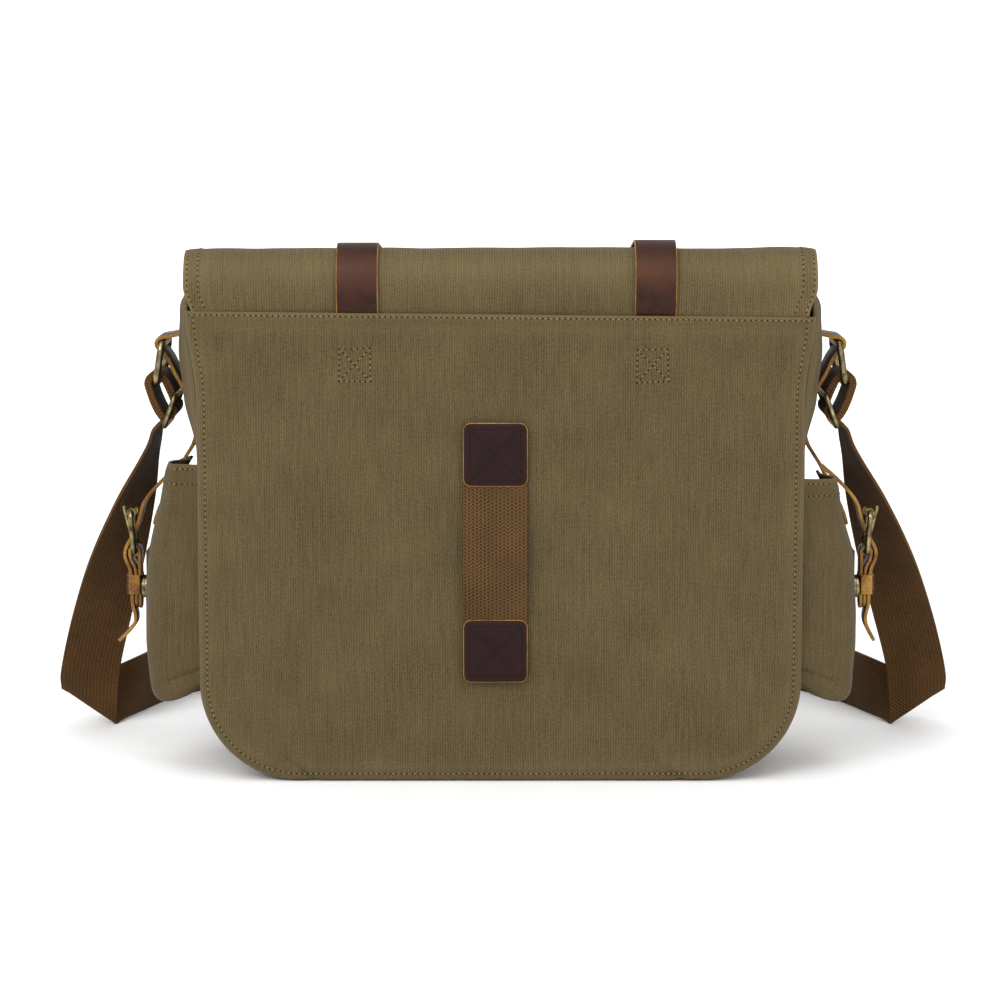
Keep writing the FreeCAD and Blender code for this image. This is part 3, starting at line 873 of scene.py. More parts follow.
def outlinePath(top, inset=0.0, step=3 * mm):
    # the body's outline from the right rim round the base to the left rim, with its normals
    corner = body["corner"] - inset
    low = inset

    def half(z):
        shoulder = body["shoulder"] * smooth(seamTop - 50 * mm, seamTop, z)
        return bodyHalf - inset - body["waist"] + shoulder * (1 - smooth(286 * mm, 303 * mm, z))

    line = []
    rise = top - corner - low
    count = round(rise / step)
    for i in range(count):
        z = top - rise * i / count
        line.append((Vector((half(z), 0, z)), Vector((1, 0, 0))))
    h = half(corner)
    count = round(corner * math.pi / 2 / step)
    for i in range(count + 1):
        a = math.pi / 2 * i / count
        n = Vector((math.cos(a), 0, -math.sin(a)))
        line.append((Vector((h - corner, 0, corner + low)) + n * corner, n))
    width = 2 * (h - corner)
    count = round(width / (step * 1.5))
    for i in range(1, count):
        line.append((Vector((h - corner - width * i / count, 0, low)), Vector((0, 0, -1))))
    mirror = [
        (Vector((-p.x, 0, p.z)), Vector((-n.x, 0, n.z)))
        for p, n in line[: len(line) - (count - 1)]
    ]
    return line + mirror[::-1]


def gussetPoint(line, i, w):
    p, n = line[i]
    y = (backFace - 6 * mm) * w
    edge = (1 - abs(w)) * (backFace - 6 * mm)
    out = body["sideBulge"] * (1 - w * w) * smooth(20 * mm, 110 * mm, p.z) * abs(n.x)
    flare = smooth(196 * mm, 232 * mm, p.z) * (1 - 0.5 * smooth(250 * mm, 280 * mm, p.z))
    flare *= 1 - smooth(282 * mm, 298 * mm, p.z)
    out += body["gussetFlare"] * flare * hump(abs(w), 0.74, 0.2) * abs(n.x)
    out += 0.9 * mm * ripple(p.x, y, p.z, 34 * mm, 1.7) * (1 - w**4) * abs(n.x)
    held = smooth(190 * mm, 215 * mm, p.z) * hump(w, 0, 0.42) * abs(n.x)
    out += (2.6 * mm - out) * held
    out -= 1.1 * mm * hump(edge, 0, 2.2 * mm)
    point = p + n * out
    return Vector((point.x, y, max(point.z, 0.2 * mm))), edge


def makeGusset():
    line = outlinePath(rimTop)
    travelled = lengthsAlong([point for point, normal in line])

    def place(u, i):
        point, edge = gussetPoint(line, i, u)
        wear = 0.6 * hump(edge, 3 * mm, 3 * mm) + 0.7 * hump(rimTop - point.z, 0, 3 * mm)
        return point, (u * 50 * mm + 0.3, travelled[i]), wear

    gusset = clothGrid("gusset_cloth", spreadBoth(44, 0.7), range(len(line)), place)
    thicken(gusset, body["cloth"])
    paint(gusset, canvas)
    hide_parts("gusset")
    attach(gusset, "bag")


def makeLining():
    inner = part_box("lining")
    line = outlinePath(rimTop - 0.5 * mm, 4.2 * mm, 5 * mm)
    low, high = inner[0].y + 0.6 * mm, inner[1].y - 0.4 * mm

    def strip(u, v):
        p, n = line[int(v)]
        y = low + (high - low) * (u * 0.5 + 0.5)
        slack = 1.1 * mm * ripple(p.x, y, p.z, 38 * mm, 6.2) * (1 - u**4)
        point = p - n * max(0.0, slack + 0.4 * mm)
        wear = 0.5 * hump(rimTop - p.z, 0, 4 * mm)
        return Vector((point.x, y, point.z)), (y, int(v) * 5 * mm), wear

    def wall(y, toward):
        def place(u, v):
            z = 4.4 * mm + (rimTop - (6.8 if toward == 1 else 5) * mm) * v
            x = (panelHalf(max(z - 4.2 * mm, 0)) - 4.4 * mm) * u
            calm = smooth(0, 25 * mm, edgeDistance(x, z))
            slack = calm * (1.2 * mm + 1.2 * mm * ripple(x, y, z, 60 * mm, 4.4))
            return Vector((x, y + toward * slack, z)), (x, z), 0.5 * hump(rimTop - z, 0, 4 * mm)

        return place

    middle = spreadBoth(50, 0.6)
    pieces = [
        clothGrid("lining_strip", spreadBoth(20, 0.3), range(len(line)), strip),
        clothGrid("lining_front", middle, spread(50, 0.6), wall(low, 1)),
        clothGrid("lining_back", middle, spread(50, 0.6), wall(high, -0.4)),
    ]
    lining = joined("lining_cloth", pieces)
    thicken(lining, 0.5 * mm, offset=1)
    paint(lining, liningCloth)
    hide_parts("lining")
    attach(lining, "bag")


def padGrid(name, low, high, corner, cells, puff):
    # a stuffed slab that stands in the XZ plane, quilted in rows
    middle = (low.y + high.y) / 2
    depth = (high.y - low.y) / 2

    def face(sign):
        def place(u, v):
            z = low.z + (high.z - low.z) * v
            half = (high.x - low.x) / 2
            near = min(z - low.z, high.z - z)
            reach = corner if z - low.z < high.z - z else 12 * mm
            if near < reach:
                half -= reach - math.sqrt(max(reach**2 - (reach - near) ** 2, 0))
            x = (low.x + high.x) / 2 + half * u
            d = min(half * (1 - abs(u)), near)
            thick = depth * (1 - (1 - min(d, 7 * mm) / (7 * mm)) ** 2) ** 0.5
            quilt = abs(math.sin(math.pi * (z - low.z) / cells))
            thick *= 1 - puff * (1 - quilt**0.5) * smooth(0, 14 * mm, d)
            return Vector((x, middle + sign * thick, z)), (x, z), 0.5 * hump(d, 0, 4 * mm)

        return place

    columns = spreadBoth(70, 0.85)
    rows = spread(120, 0.4)
    pieces = [
        clothGrid(name + "a", columns, rows, face(1), Vector((0, middle - 1, 0.1))),
        clothGrid(name + "b", columns, rows, face(-1), Vector((0, middle + 1, 0.1))),
    ]
    pad = joined(name, pieces)
    pick(pad)
    setMode("EDIT")
    bpy.ops.mesh.select_all(action="SELECT")
    bpy.ops.mesh.remove_doubles(threshold=0.05 * mm)
    bpy.ops.mesh.normals_make_consistent(inside=False)
    setMode("OBJECT")
    return pad


def makePads():
    for node, corner, cells, puff in (
        ("laptop_divider", 55 * mm, 38 * mm, 0.35),
        ("back_foam", 46 * mm, 60 * mm, 0.1),
    ):
        low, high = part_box(node)
        pad = padGrid(node + "_pad", low, high, corner, cells, puff)
        paint(pad, liningCloth)
        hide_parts(node)
        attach(pad, "bag")
    board = nodes["base_board"]
    board.material_slots[0].material = stiffBoard


makePanels()
makeGusset()
makeLining()
makePads()
print("body sewn")


# flap
flap = {
    "corner": 50 * mm,
    "droop": 1.6 * mm,
    "cloth": 1.8 * mm,
    "row": 2.5 * mm,
    "edgeSeam": 2.2 * mm,
    "hemSeam": 8.6 * mm,
    "profile": [  # y and z of its outer face from the seam over the top to the hem
        (54.9, -5.5), (55.6, 3), (57.8, 12), (58.6, 20), (57.4, 27), (53.0, 33.6), (46, 37.6),
        (37, 38.8), (20, 37.2), (0, 34.8), (-25, 31.9), (-43, 30.2), (-53.5, 28.4), (-60.0, 22.5),
        (-64.5, 5), (-73.0, -35), (-79.5, -66), (-82.6, -88), (-83.0, -130), (-82.8, -184),
    ],
}
flapCurve = [(y * mm, seamTop + z * mm, 0) for y, z in flap["profile"]]
flapLine = [Vector((p.x, p.y)) for p in curveThrough(flapCurve, flap["row"])]
flapMiddle = min(
    range(len(flapLine)),
    key=lambda i: abs(flapLine[i].x) + (0 if flapLine[i].y > flapTop - 16 * mm else 1),
)


def flapNormal(i):
    a, b = flapLine[max(i - 1, 0)], flapLine[min(i + 1, len(flapLine) - 1)]
    run = (b - a).normalized()
    return Vector((-run.y, run.x)) * -1


def flapHalfAt(i):
    # the flap's half width, with its lower corners rounded
    left = (len(flapLine) - 1 - i) * flap["row"]
    half = flapHalf + 0.8 * mm * ripple(0, 0, i * flap["row"], 40 * mm, 2)
    half -= 4.5 * mm * (1 - smooth(2, 9, i))
    if left < flap["corner"]:
        half -= flap["corner"] - math.sqrt(flap["corner"] ** 2 - (flap["corner"] - left) ** 2)
    return half


def flapPoint(i, x, lift=0.0):
    y, z = flapLine[i]
    n = flapNormal(i)
    half = flapHalfAt(min(i, len(flapLine) - 22))
    edge = max(0.0, abs(x) - (half - 20 * mm)) / (20 * mm)
    onTop = smooth(20 * mm, 29 * mm, z - seamTop)
    out = lift - flap["droop"] * edge**2.2 * (0.35 + 0.65 * onTop)
    belly = smooth(2 * mm, 14 * mm, z - seamTop) if i < flapMiddle else 1.0
    out += belly * 1.0 * mm * ripple(x, y, z, 62 * mm, 9.3)
    out += belly * 0.35 * mm * ripple(x, y, z, 20 * mm, 2.7)
    return Vector((x, y + n.x * out, z + n.y * out))


def hemWear(d):
    return 0.85 * hump(d, 0, 2.5 * mm) + 0.25 * hump(d, 12 * mm, 3 * mm)


def hemRise(d):
    # a turned hem is twice as thick, and dips where it is sewn
    dips = hump(d, flap["edgeSeam"], 0.9 * mm) + hump(d, flap["hemSeam"], 1.1 * mm)
    return 0.6 * mm * (1 - smooth(8 * mm, 12 * mm, d)) - 0.25 * mm * dips


def makeFlap():
    columns = spreadBoth(120, 0.8)
    last = len(flapLine) - 1

    def place(u, i):
        x = flapHalfAt(i) * u
        tail = (last - i) * flap["row"]
        d = flapHalfAt(i) * (1 - abs(u))
        if tail < flap["corner"]:
            cx = flapHalf - flap["corner"]
            over = max(0.0, abs(x) - cx)
            inCorner = flap["corner"] - math.hypot(over, flap["corner"] - tail)
            d = min(d + flap["corner"] if over == 0 else flap["corner"], inCorner)
            d = min(max(d, 0.0), flapHalf - abs(x), tail if over == 0 else flap["corner"])
        wear = hemWear(d) + 0.35 * hump(i, 14, 4) + 0.3 * hump(i, 58, 5)
        return flapPoint(i, x, hemRise(d)), (x + 1.0, i * flap["row"]), wear

    rear = clothGrid("flap_rear_cloth", columns, range(0, flapMiddle + 1), place)
    fore = clothGrid("flap_front_cloth", columns, range(flapMiddle, last + 1), place)
    for obj in (rear, fore):
        thicken(obj, flap["cloth"])
        paint(obj, flapCanvas)
        shadeSmooth(obj, 45)
    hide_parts("flap_back", "flap_top")
    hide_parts("flap_front")
    return rear, fore


backBend = {"start": (0, 58 * mm, flapTop - 12 * mm), "end": (0, 44 * mm, flapTop + 3 * mm)}
frontBend = {
    "start": (0, -50 * mm, flapTop - 4 * mm),
    "end": (0, -61.5 * mm, flapTop - 14 * mm),
}


def bendBack(obj):
    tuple(backBend["start"])
    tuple(backBend["end"])
    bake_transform(obj)


def bendFront(obj):
    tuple(frontBend["start"])
    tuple(frontBend["end"])
    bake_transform(obj)


flapRear, flapFore = makeFlap()
bendBack(flapRear)
bendFront(flapFore)
print("flap hung")


# pouches
sidePocket = {
    "half": 43 * mm,
    "squareness": 4.0,
    "tuck": 4 * mm,
    "profile": [  # how far out, and how high, from the seam under it to its mouth
        (0, 54.0), (7, 49.5), (15, 45.5), (23, 43), (29.5, 44), (33, 50), (34, 62), (35, 88),
        (34, 118), (31.5, 138), (27, 154), (20.5, 170), (14, 186),
    ],
    "fullness": {"left": 1.04, "right": 1.02},
    "mouth": 6 * mm,
    "rise": {"left": -5 * mm, "right": 4 * mm},
}
frontPocket = {
    "half": 76.5 * mm,
    "squareness": 7.0,
    "tuck": 3 * mm,
    "profile": [
        (0, 40.5), (8, 40.0), (17, 41.5), (21.5, 47), (22.8, 60), (23, 100), (22.4, 150),
        (21.5, 196),
    ],
}


def evenRound(half, depth, power):
    # turns an even step round the pouch, -1 to 1, into its place on the soft box
    marks = sorted({(k / 60) ** 4 for k in range(61)} | {1 - (k / 60) ** 4 for k in range(61)})
    corners = [
        Vector((half * math.sin(m * math.pi / 2) ** (2 / power),
                depth * max(math.cos(m * math.pi / 2), 0) ** (2 / power)))
        for m in marks
    ]
    reached = lengthsAlong(corners)

    def place(step):
        want = abs(step) * reached[-1]
        k = 1
        while k < len(reached) - 1 and reached[k] < want:
            k += 1
        part = (want - reached[k - 1]) / (reached[k] - reached[k - 1])
        return math.copysign(marks[k - 1] + (marks[k] - marks[k - 1]) * min(part, 1), step)

    return place, reached[-1]


def pouch(name, profile, half, toWorld, power, tuck, seed, mouth=0.0):
    # a gathered pouch on a wall: out and up follow the profile, across is a soft box
    line = curveThrough([(o * mm, z * mm, 0) for o, z in profile], 3 * mm)
    travelled = [i * 3 * mm for i in range(len(line))]
    top = travelled[-1]
    evenPlace, halfRound = evenRound(half, max(p.x for p in line), power)

    def surface(step, v, lift=0.0):
        u = evenPlace(step)
        out, z, risen = line[v].x, line[v].y, travelled[v]
        angle = u * math.pi / 2
        side = math.sin(angle)
        across = half * math.copysign(abs(side) ** (2 / power), side)
        reach = max(math.cos(angle), 0.0) ** (2 / power)
        z += (max(z, line[0].y + 0.3 * risen) - z) * (1 - reach)
        lowGather = 1 - 0.07 * (1 - smooth(0, 22 * mm, risen))
        fold = math.sin(math.pi * reach) * smooth(0.45, 0.8, abs(u))
        lip = 1.4 * mm * hump(risen, 42 * mm, 2.6 * mm) * smooth(0.4, 0.7, abs(u))
        across -= math.copysign(tuck * fold + lip, across)
        slack = ripple(across, z, seed, 32 * mm, seed) * 1.3 * mm
        slack += ripple(across, z, seed, 12 * mm, 3) * 0.35 * mm
        slack *= smooth(0, 15 * mm, risen) * smooth(0, 0.25, 1 - abs(u))
        # the mouth stands out on both sides of its middle
        gape = smooth(top - 42 * mm, top, risen)
        slack += mouth * gape * hump(abs(across), 0.66 * half, 13 * mm)
        return toWorld(across * lowGather, out * reach + (slack + lift) * min(1, reach * 1.5), z)

    def place(u, v):
        d = top - travelled[v]
        wear = 0.7 * hump(d, 0, 2.5 * mm)
        lift = 0.5 * mm * (1 - smooth(8 * mm, 12 * mm, d)) - 0.25 * mm * hump(d, 10 * mm, 1.5 * mm)
        return surface(u, v, lift), (u * halfRound + seed, travelled[v]), wear

    home = toWorld(0, -10 * mm, 100 * mm)
    obj = clothGrid(name, spreadBoth(96, 0.0), range(len(line)), place, home)
    thicken(obj, 1.5 * mm, even=False)
    paint(obj, pocketCanvas)
    shadeSmooth(obj, 50)
    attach(obj, "bag")
    rails = []
    for hem in (len(line) - 2, len(line) - 5):
        rail = []
        for k in range(61):
            u = -0.97 + 1.94 * k / 60
            a, b = surface(u - 0.01, hem), surface(u + 0.01, hem)
            up = surface(u, hem + 1) - surface(u, hem - 1)
            normal = (b - a).cross(up).normalized()
            if normal.dot(surface(u, hem) - home) < 0:
                normal = -normal
            rail.append((surface(u, hem, 0.1 * mm), normal))
        rails.append(rail)
    return obj, rails


anchorLine = [  # the pocket strap's sewn end: how far out, and how high
    (184.2, 212), (184.6, 205), (186.6, 198), (190.8, 191), (195.4, 183.6),
    (199.8, 174.6), (204.8, 165), (208.8, 156), (211.2, 148),
]


def underStrap(z):
    # how far out the cloth may stand under the pocket strap at this height
    points = anchorLine + [(216, 138), (226, 122)]
    if z < points[-1][1] * mm:
        return 1.0
    for (x0, z0), (x1, z1) in zip(points, points[1:]):
        if z >= z1 * mm:
            share = min(1.0, (z0 * mm - z) / ((z0 - z1) * mm))
            return (x0 + (x1 - x0) * share - 2.8) * mm
    return 1.0


def makePouches():
    rails = []
    for side, sign in sides.items():
        full = sidePocket["fullness"][side]
        wall = bodyHalf - 1.5 * mm

        def toSide(across, out, z):
            upper = smooth(148 * mm, 186 * mm, z)
            z += (sidePocket["rise"][side] - 10 * mm * smooth(4 * mm, 38 * mm, -across)) * upper
            x = wall + out * full
            # the strap lies over the mouth and presses it in
            pressed = max(0.0, x - underStrap(z)) * (1 - smooth(8 * mm, 21 * mm, abs(across)))
            return Vector((sign * (x - pressed), across, z))

        obj, hems = pouch(
            "side_pocket_cloth_" + side, sidePocket["profile"], sidePocket["half"], toSide,
            sidePocket["squareness"], sidePocket["tuck"], 2.0 + sign, sidePocket["mouth"],
        )
        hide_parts("side_pocket_" + side)
        rails += hems

        low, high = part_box("front_pocket_" + side)
        middle = (low.x + high.x) / 2

        def toFront(across, out, z):
            return Vector((middle + across, frontFace - out, z))

        obj, hems = pouch(
            "front_pocket_cloth_" + side, frontPocket["profile"], frontPocket["half"], toFront,
            frontPocket["squareness"], frontPocket["tuck"], 6.0 + sign,
        )
        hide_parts("front_pocket_" + side)
        rails += hems
    seams = sew("pocket_stitches", rails)
    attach(seams, "bag")


makePouches()
print("pockets sewn")


# seams
panelSeam = {
    "inset": 5.2 * mm,
    "boxes": [(77.0, 94.5, 241.5, 260.5), (-98.5, -81.0, 241.0, 260.0)],
    "boxLean": 1.5 * mm,
}
backward = Vector((0, 1, 0))


def seamLine(inset, top, step=4 * mm):
    # a line of (point, normal) on the back panel at this distance in from its edge
    line = []
    for p, n in outlinePath(top, 0, step):
        x = p.x - n.x * inset
        z = p.z - n.z * inset
        point = backPoint(x, z)
        point.y += lipRise(z)
        line.append((point, backward))
    return line


def boxStitch(x0, x1, z0, z1, surface):
    # a box and a cross, sewn by hand and eye: no corner is quite square
    corners = []
    for x, z in ((x0, z0), (x1, z0), (x1, z1), (x0, z1)):
        lean = noise.noise_vector(Vector((x, 1.7, z)) / (11 * mm)) * panelSeam["boxLean"]
        corners.append((x + lean.x, z + lean.z))
    a, b, c, d = corners
    lines = []
    for (ax, az), (bx, bz) in ((a, b), (b, c), (c, d), (d, a), (a, c), (d, b)):
        points = [surface(ax + (bx - ax) * t / 6, az + (bz - az) * t / 6) for t in range(7)]
        lines.append([(point, backward) for point in points])
    return lines


def makeSeams():
    lines = [seamLine(panelSeam["inset"], seamTop - mm)]
    upper = []
    for k in range(81):
        u = 0.985 * (1 - 2 * k / 80)
        lip = backPoint(panelHalf(seamTop) * u, panelTop(u) - 2.1 * mm)
        upper.append((lip + backward * body["lip"], backward))
    lines.append(upper)
    for x0, x1, z0, z1 in panelSeam["boxes"]:
        lines += boxStitch(x0 * mm, x1 * mm, z0 * mm, z1 * mm, backPoint)
    panelSeams = sew("back_panel_stitches", lines)
    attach(panelSeams, "bag")

    rearLines, foreLines = [], []
    for sign in (1, -1):
        for inset in (flap["edgeSeam"], flap["hemSeam"]):
            line = []
            for i in range(3, len(flapLine) - 20):
                x = sign * (flapHalfAt(i) - inset)
                n = flapNormal(i)
                line.append((flapPoint(i, x, hemRise(inset)), Vector((0, n.x, n.y)), i))
            rearLines.append([(p, n) for p, n, i in line if i <= flapMiddle])
            foreLines.append([(p, n) for p, n, i in line if i >= flapMiddle])
    last = len(flapLine) - 1
    corner, inset = flap["corner"], flap["hemSeam"]
    flatHalf = flapHalf - corner
    bend = (corner - inset) * math.pi / 2
    low = []
    for k in range(-60, 61):
        share = k / 60
        s = abs(share) * (flatHalf + bend)
        if s < flatHalf:
            x, rise = s, inset
        else:
            a = (s - flatHalf) / (corner - inset)
            x = flatHalf + math.sin(a) * (corner - inset)
            rise = corner - math.cos(a) * (corner - inset)
        place = last - rise / flap["row"]
        i = int(place)
        x = math.copysign(x, share)
        above, below = (flapPoint(row, x, hemRise(inset)) for row in (i, min(i + 1, last)))
        n = flapNormal(i)
        low.append((above.lerp(below, place - i), Vector((0, n.x, n.y))))
    foreLines.append(low)
    rear = sew("flap_rear_stitches", rearLines)
    fore = sew("flap_front_stitches", foreLines)
    bendBack(rear)
    bendFront(fore)


makeSeams()
print("seams stitched")


# leather and webbing on the back
backStrip = {
    "middle": 3 * mm,
    "width": 38 * mm,
    "low": 62.4 * mm,
    "high": 217.6 * mm,
    "patch": 38 * mm,
    "patchRise": 4.3 * mm,
    "seam": 3.6 * mm,
}


def roundCorner(u, v, reach):
    # turns a square from -1 to 1 into one with round corners
    du, dv = abs(u) - (1 - reach), abs(v) - (1 - reach)
    if du <= 0 or dv <= 0:
        return u, v
    share = max(du, dv) / math.hypot(du, dv)
    return (
        math.copysign(1 - reach + du * share, u),
        math.copysign(1 - reach + dv * share, v),
    )


def stripOnBack(z):
    return backFace + panelLift(backStrip["middle"], z)


def makeBackStrip():
    b = backStrip
    above, below = b["low"] + b["patch"], b["high"] - b["patch"]
    route = []
    for z, lift in (
        (b["low"] + 2 * mm, 1.3), (b["low"] + 20 * mm, 1.3), (above - 2 * mm, 1.5),
        (above + 12 * mm, 4.0), (138 * mm, 5.5), (below - 12 * mm, 4.0), (below + 2 * mm, 1.5),
        (b["high"] - 20 * mm, 1.3), (b["high"] - 2 * mm, 1.3),
    ):
        route.append((b["middle"], stripOnBack(z) + lift * mm, z))
    strip = stripMesh(
        "back_webbing_strip", curveThrough(route, 2.5 * mm), (1, 0, 0), b["width"], 2.0 * mm,
        (webbing, webbing),
    )
    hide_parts("back_webbing")
    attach(strip, "bag")

    stitches = []
    for node, z0 in (("back_patch_lower", b["low"]), ("back_patch_upper", b["high"] - b["patch"])):
        z1 = z0 + b["patch"]
        middle = (z0 + z1) / 2
        base = stripOnBack(middle) + b["patchRise"]
        half = b["patch"] / 2

        def onPatch(x, z, lift=0.0):
            r = min(1.0, max(abs(x - b["middle"]), abs(z - middle)) / half)
            sag = 0.25 * mm * ripple(x, base, z, 13 * mm, z0 * 90)
            return Vector((x, base + lift + 0.9 * mm * (1 - r**5) + sag, z))

        def place(u, v):
            u, v = roundCorner(u, v, 0.26)
            x, z = b["middle"] + u * (half + 0.2 * mm), middle + v * half
            edge = (1 - max(abs(u), abs(v))) * half
            wear = 0.3 * hump(edge, 0, 2 * mm) + 0.12 * hump(edge, 5 * mm, 3 * mm)
            return onPatch(x, z), (x, z), wear

        steps = spreadBoth(30, 0.3)
        patch = clothGrid(node + "_leather", steps, steps, place)
        paint(patch, patchLeather, rawEdge)
        thicken(patch, 2.0 * mm, rim=1, arris=0.55 * mm)
        shadeSmooth(patch, 40)
        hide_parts(node)
        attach(patch, "bag")
        r = half - b["seam"]
        stitches += boxStitch(b["middle"] - r, b["middle"] + r, middle - r, middle + r, onPatch)
    seams = sew("patch_stitches", stitches, darkThread)
    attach(seams, "bag")


makeBackStrip()
print("back strip sewn")


# leather straps over the flap
flapStrap = {
    "width": 24.5 * mm,
    "thickness": 2.2 * mm,
    "middle": {"left": -91 * mm, "right": 84 * mm},
    "arch": {"left": 2.2 * mm, "right": 0.5 * mm},
    "buckle": 118 * mm,
}
threaded = [  # a strap's way through its buckle: how far out, and how high
    (1.4, 19.0), (5.8, 9.5), (9.6, 2.0), (9.9, -3.5), (7.4, -10.0), (6.2, -17.0), (6.1, -27.0),
]
frontFlapFace = -82.5 * mm


def makeFlapStraps():
    s = flapStrap
    for side in sides:
        x = s["middle"][side]
        arch = s["arch"][side]
        path = []
        for i in range(len(flapLine)):
            p = flapPoint(i, x)
            if i > flapMiddle and p.z < s["buckle"] + 60 * mm:
                break
            n = flapNormal(i)
            rise = smooth(7, 15, i) * (1 - smooth(flapMiddle - 4, flapMiddle + 26, i))
            tuckIn = 3.2 * mm * (1 - smooth(0.5, 4, i))
            path.append(p + Vector((0, n.x, n.y)) * (1.35 * mm + arch * rise - tuckIn))
        tail = path[-4::3]
        for out, up in [(1.4, 46), (1.3, 34)] + threaded + [(6.0, -38), (6.6, -46), (8.0, -53)]:
            tail.append(Vector((x, frontFlapFace - out * mm, s["buckle"] + up * mm)))
        split = (path[flapMiddle].y, 0.25)
        path = path[:-4] + curveThrough(tail, 2.2 * mm)
        worn = lambda a: (
            0.5 * hump(a, 34 * mm, 10 * mm) + 0.3 * hump(a, 140 * mm, 16 * mm)
            + 0.4 * hump(a, 318 * mm, 14 * mm)
        )
        strap = stripMesh(
            "strap", path, (1, 0, 0), s["width"], s["thickness"], (leather, rawEdge),
            smoothTips(len(path), 6), worn,
        )
        rear, fore = partAt(
            strap, lambda c: c.z > split[1] and c.y > split[0],
            "flap_strap_rear_" + side, "flap_strap_front_" + side,
        )
        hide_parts("front_strap_" + side)
        if side == "left":
            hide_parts("flap_strap_backs", "flap_strap_tops")
        bendBack(rear)
        bendFront(fore)


makeFlapStraps()
print("flap straps on")


# buckle leather: tabs and keepers
buckleLeather = {
    "bar": 4.3,
    "bend": 3.0,
    "behind": [(1.45, -35.5), (1.35, -20), (1.35, -6)],
    "inFront": [(6.6, -5), (4.2, -10), (3.75, -16), (3.75, -26), (3.7, -35.5)],
    "tab": 1.9 * mm,
    "keeper": 1.6 * mm,
    "keeperMiddle": (4.6 * mm, -20.0 * mm),
    "keeperHalf": (3.9 * mm, 6 * mm),
}


def makeBuckleLeather(name, width, toWorld, across):
    # the tab goes up behind the lower bar, round it and down again; the keeper holds the end
    b = buckleLeather
    path = list(b["behind"])
    for k in range(9):
        a = math.pi - math.pi * k / 8
        path.append((b["bar"] + b["bend"] * math.cos(a), b["bend"] * math.sin(a)))
    path += b["inFront"]
    line = curveThrough([toWorld(0, o * mm, z * mm) for o, z in path], 1.5 * mm)
    ends = smoothTips(len(line), 5, 0.4)
    widths = [min(a, b) for a, b in zip(ends, ends[::-1])]
    tab = stripMesh(
        name + "_tab", line, across, width, b["tab"], (leather, rawEdge), widths,
        lambda a: 0.5 * hump(a, 40 * mm, 10 * mm),
    )

    side = width / 2 + 0.9 * mm
    bpy.ops.object.select_all(action="DESELECT")
    bpy.ops.mesh.primitive_cube_add(size=2)
    keeper = bpy.context.object
    keeper.name = keeper.data.name = name + "_keeper"
    choose(keeper, "FACE", lambda face: abs(face.normal.z) > 0.9)
    bpy.ops.mesh.delete(type="FACE")
    choose(keeper, "EDGE", lambda edge: abs((edge.verts[0].co - edge.verts[1].co).z) > 1)
    bpy.ops.mesh.bevel(offset=0.45, segments=4, affect="EDGES")
    bpy.ops.mesh.select_all(action="SELECT")
    bpy.ops.mesh.subdivide(number_cuts=1)
    setMode("OBJECT")
    (out, up), (deep, high) = b["keeperMiddle"], b["keeperHalf"]
    for vert in keeper.data.vertices:
        bow = 0.35 * mm * (1 - vert.co.z**2)
        vert.co = toWorld(vert.co.x * side, out + vert.co.y * (deep + bow), up + vert.co.z * high)
    pick(keeper)
    setMode("EDIT")
    bpy.ops.mesh.select_all(action="SELECT")
    bpy.ops.mesh.normals_make_consistent(inside=False)
    setMode("OBJECT")
    paint(keeper, leather, rawEdge)
    thicken(keeper, b["keeper"], rim=1, offset=0, arris=0.4 * mm)
    for face in keeper.data.polygons:
        if abs(face.normal.dot(Vector(across))) > 0.8:
            face.material_index = 1  # its folded sides have rubbed down to the bare hide
    keeper.data.attributes.new("wear", "FLOAT", "POINT")
    shadeSmooth(keeper, 35)
    return tab, keeper


def makeFrontBuckles():
    tabs, keepers = [], []
    for side in sides:
        x0 = flapStrap["middle"][side]

        def toFlap(x, out, z):
            return Vector((x0 + x, frontFlapFace - out, flapStrap["buckle"] + z))

        width = flapStrap["width"] - 1 * mm
        tab, keeper = makeBuckleLeather("front_" + side, width, toFlap, (1, 0, 0))
        tabs.append(tab)
        keepers.append(keeper)
    tabs = joined("front_buckle_tabs_leather", tabs)
    keepers = joined("front_keepers_leather", keepers)
    for obj, node in ((tabs, "front_buckle_tabs"), (keepers, "front_keepers")):
        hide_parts(node)
        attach(obj, "flap_front")


pocketStrap = {
    "width": 14 * mm,
    "thickness": 2.1 * mm,
    "buckle": 132 * mm,
    "plane": 218.7 * mm,
    "fold": (196 * mm, 184 * mm),
    "tail": [(4.4, -39), (5.0, -44.5), (10.5, -51), (15.5, -56)],
}
pocketPatch = {"size": (2.2 * mm, 24 * mm, 38 * mm), "height": 115 * mm, "inset": 1.2 * mm}


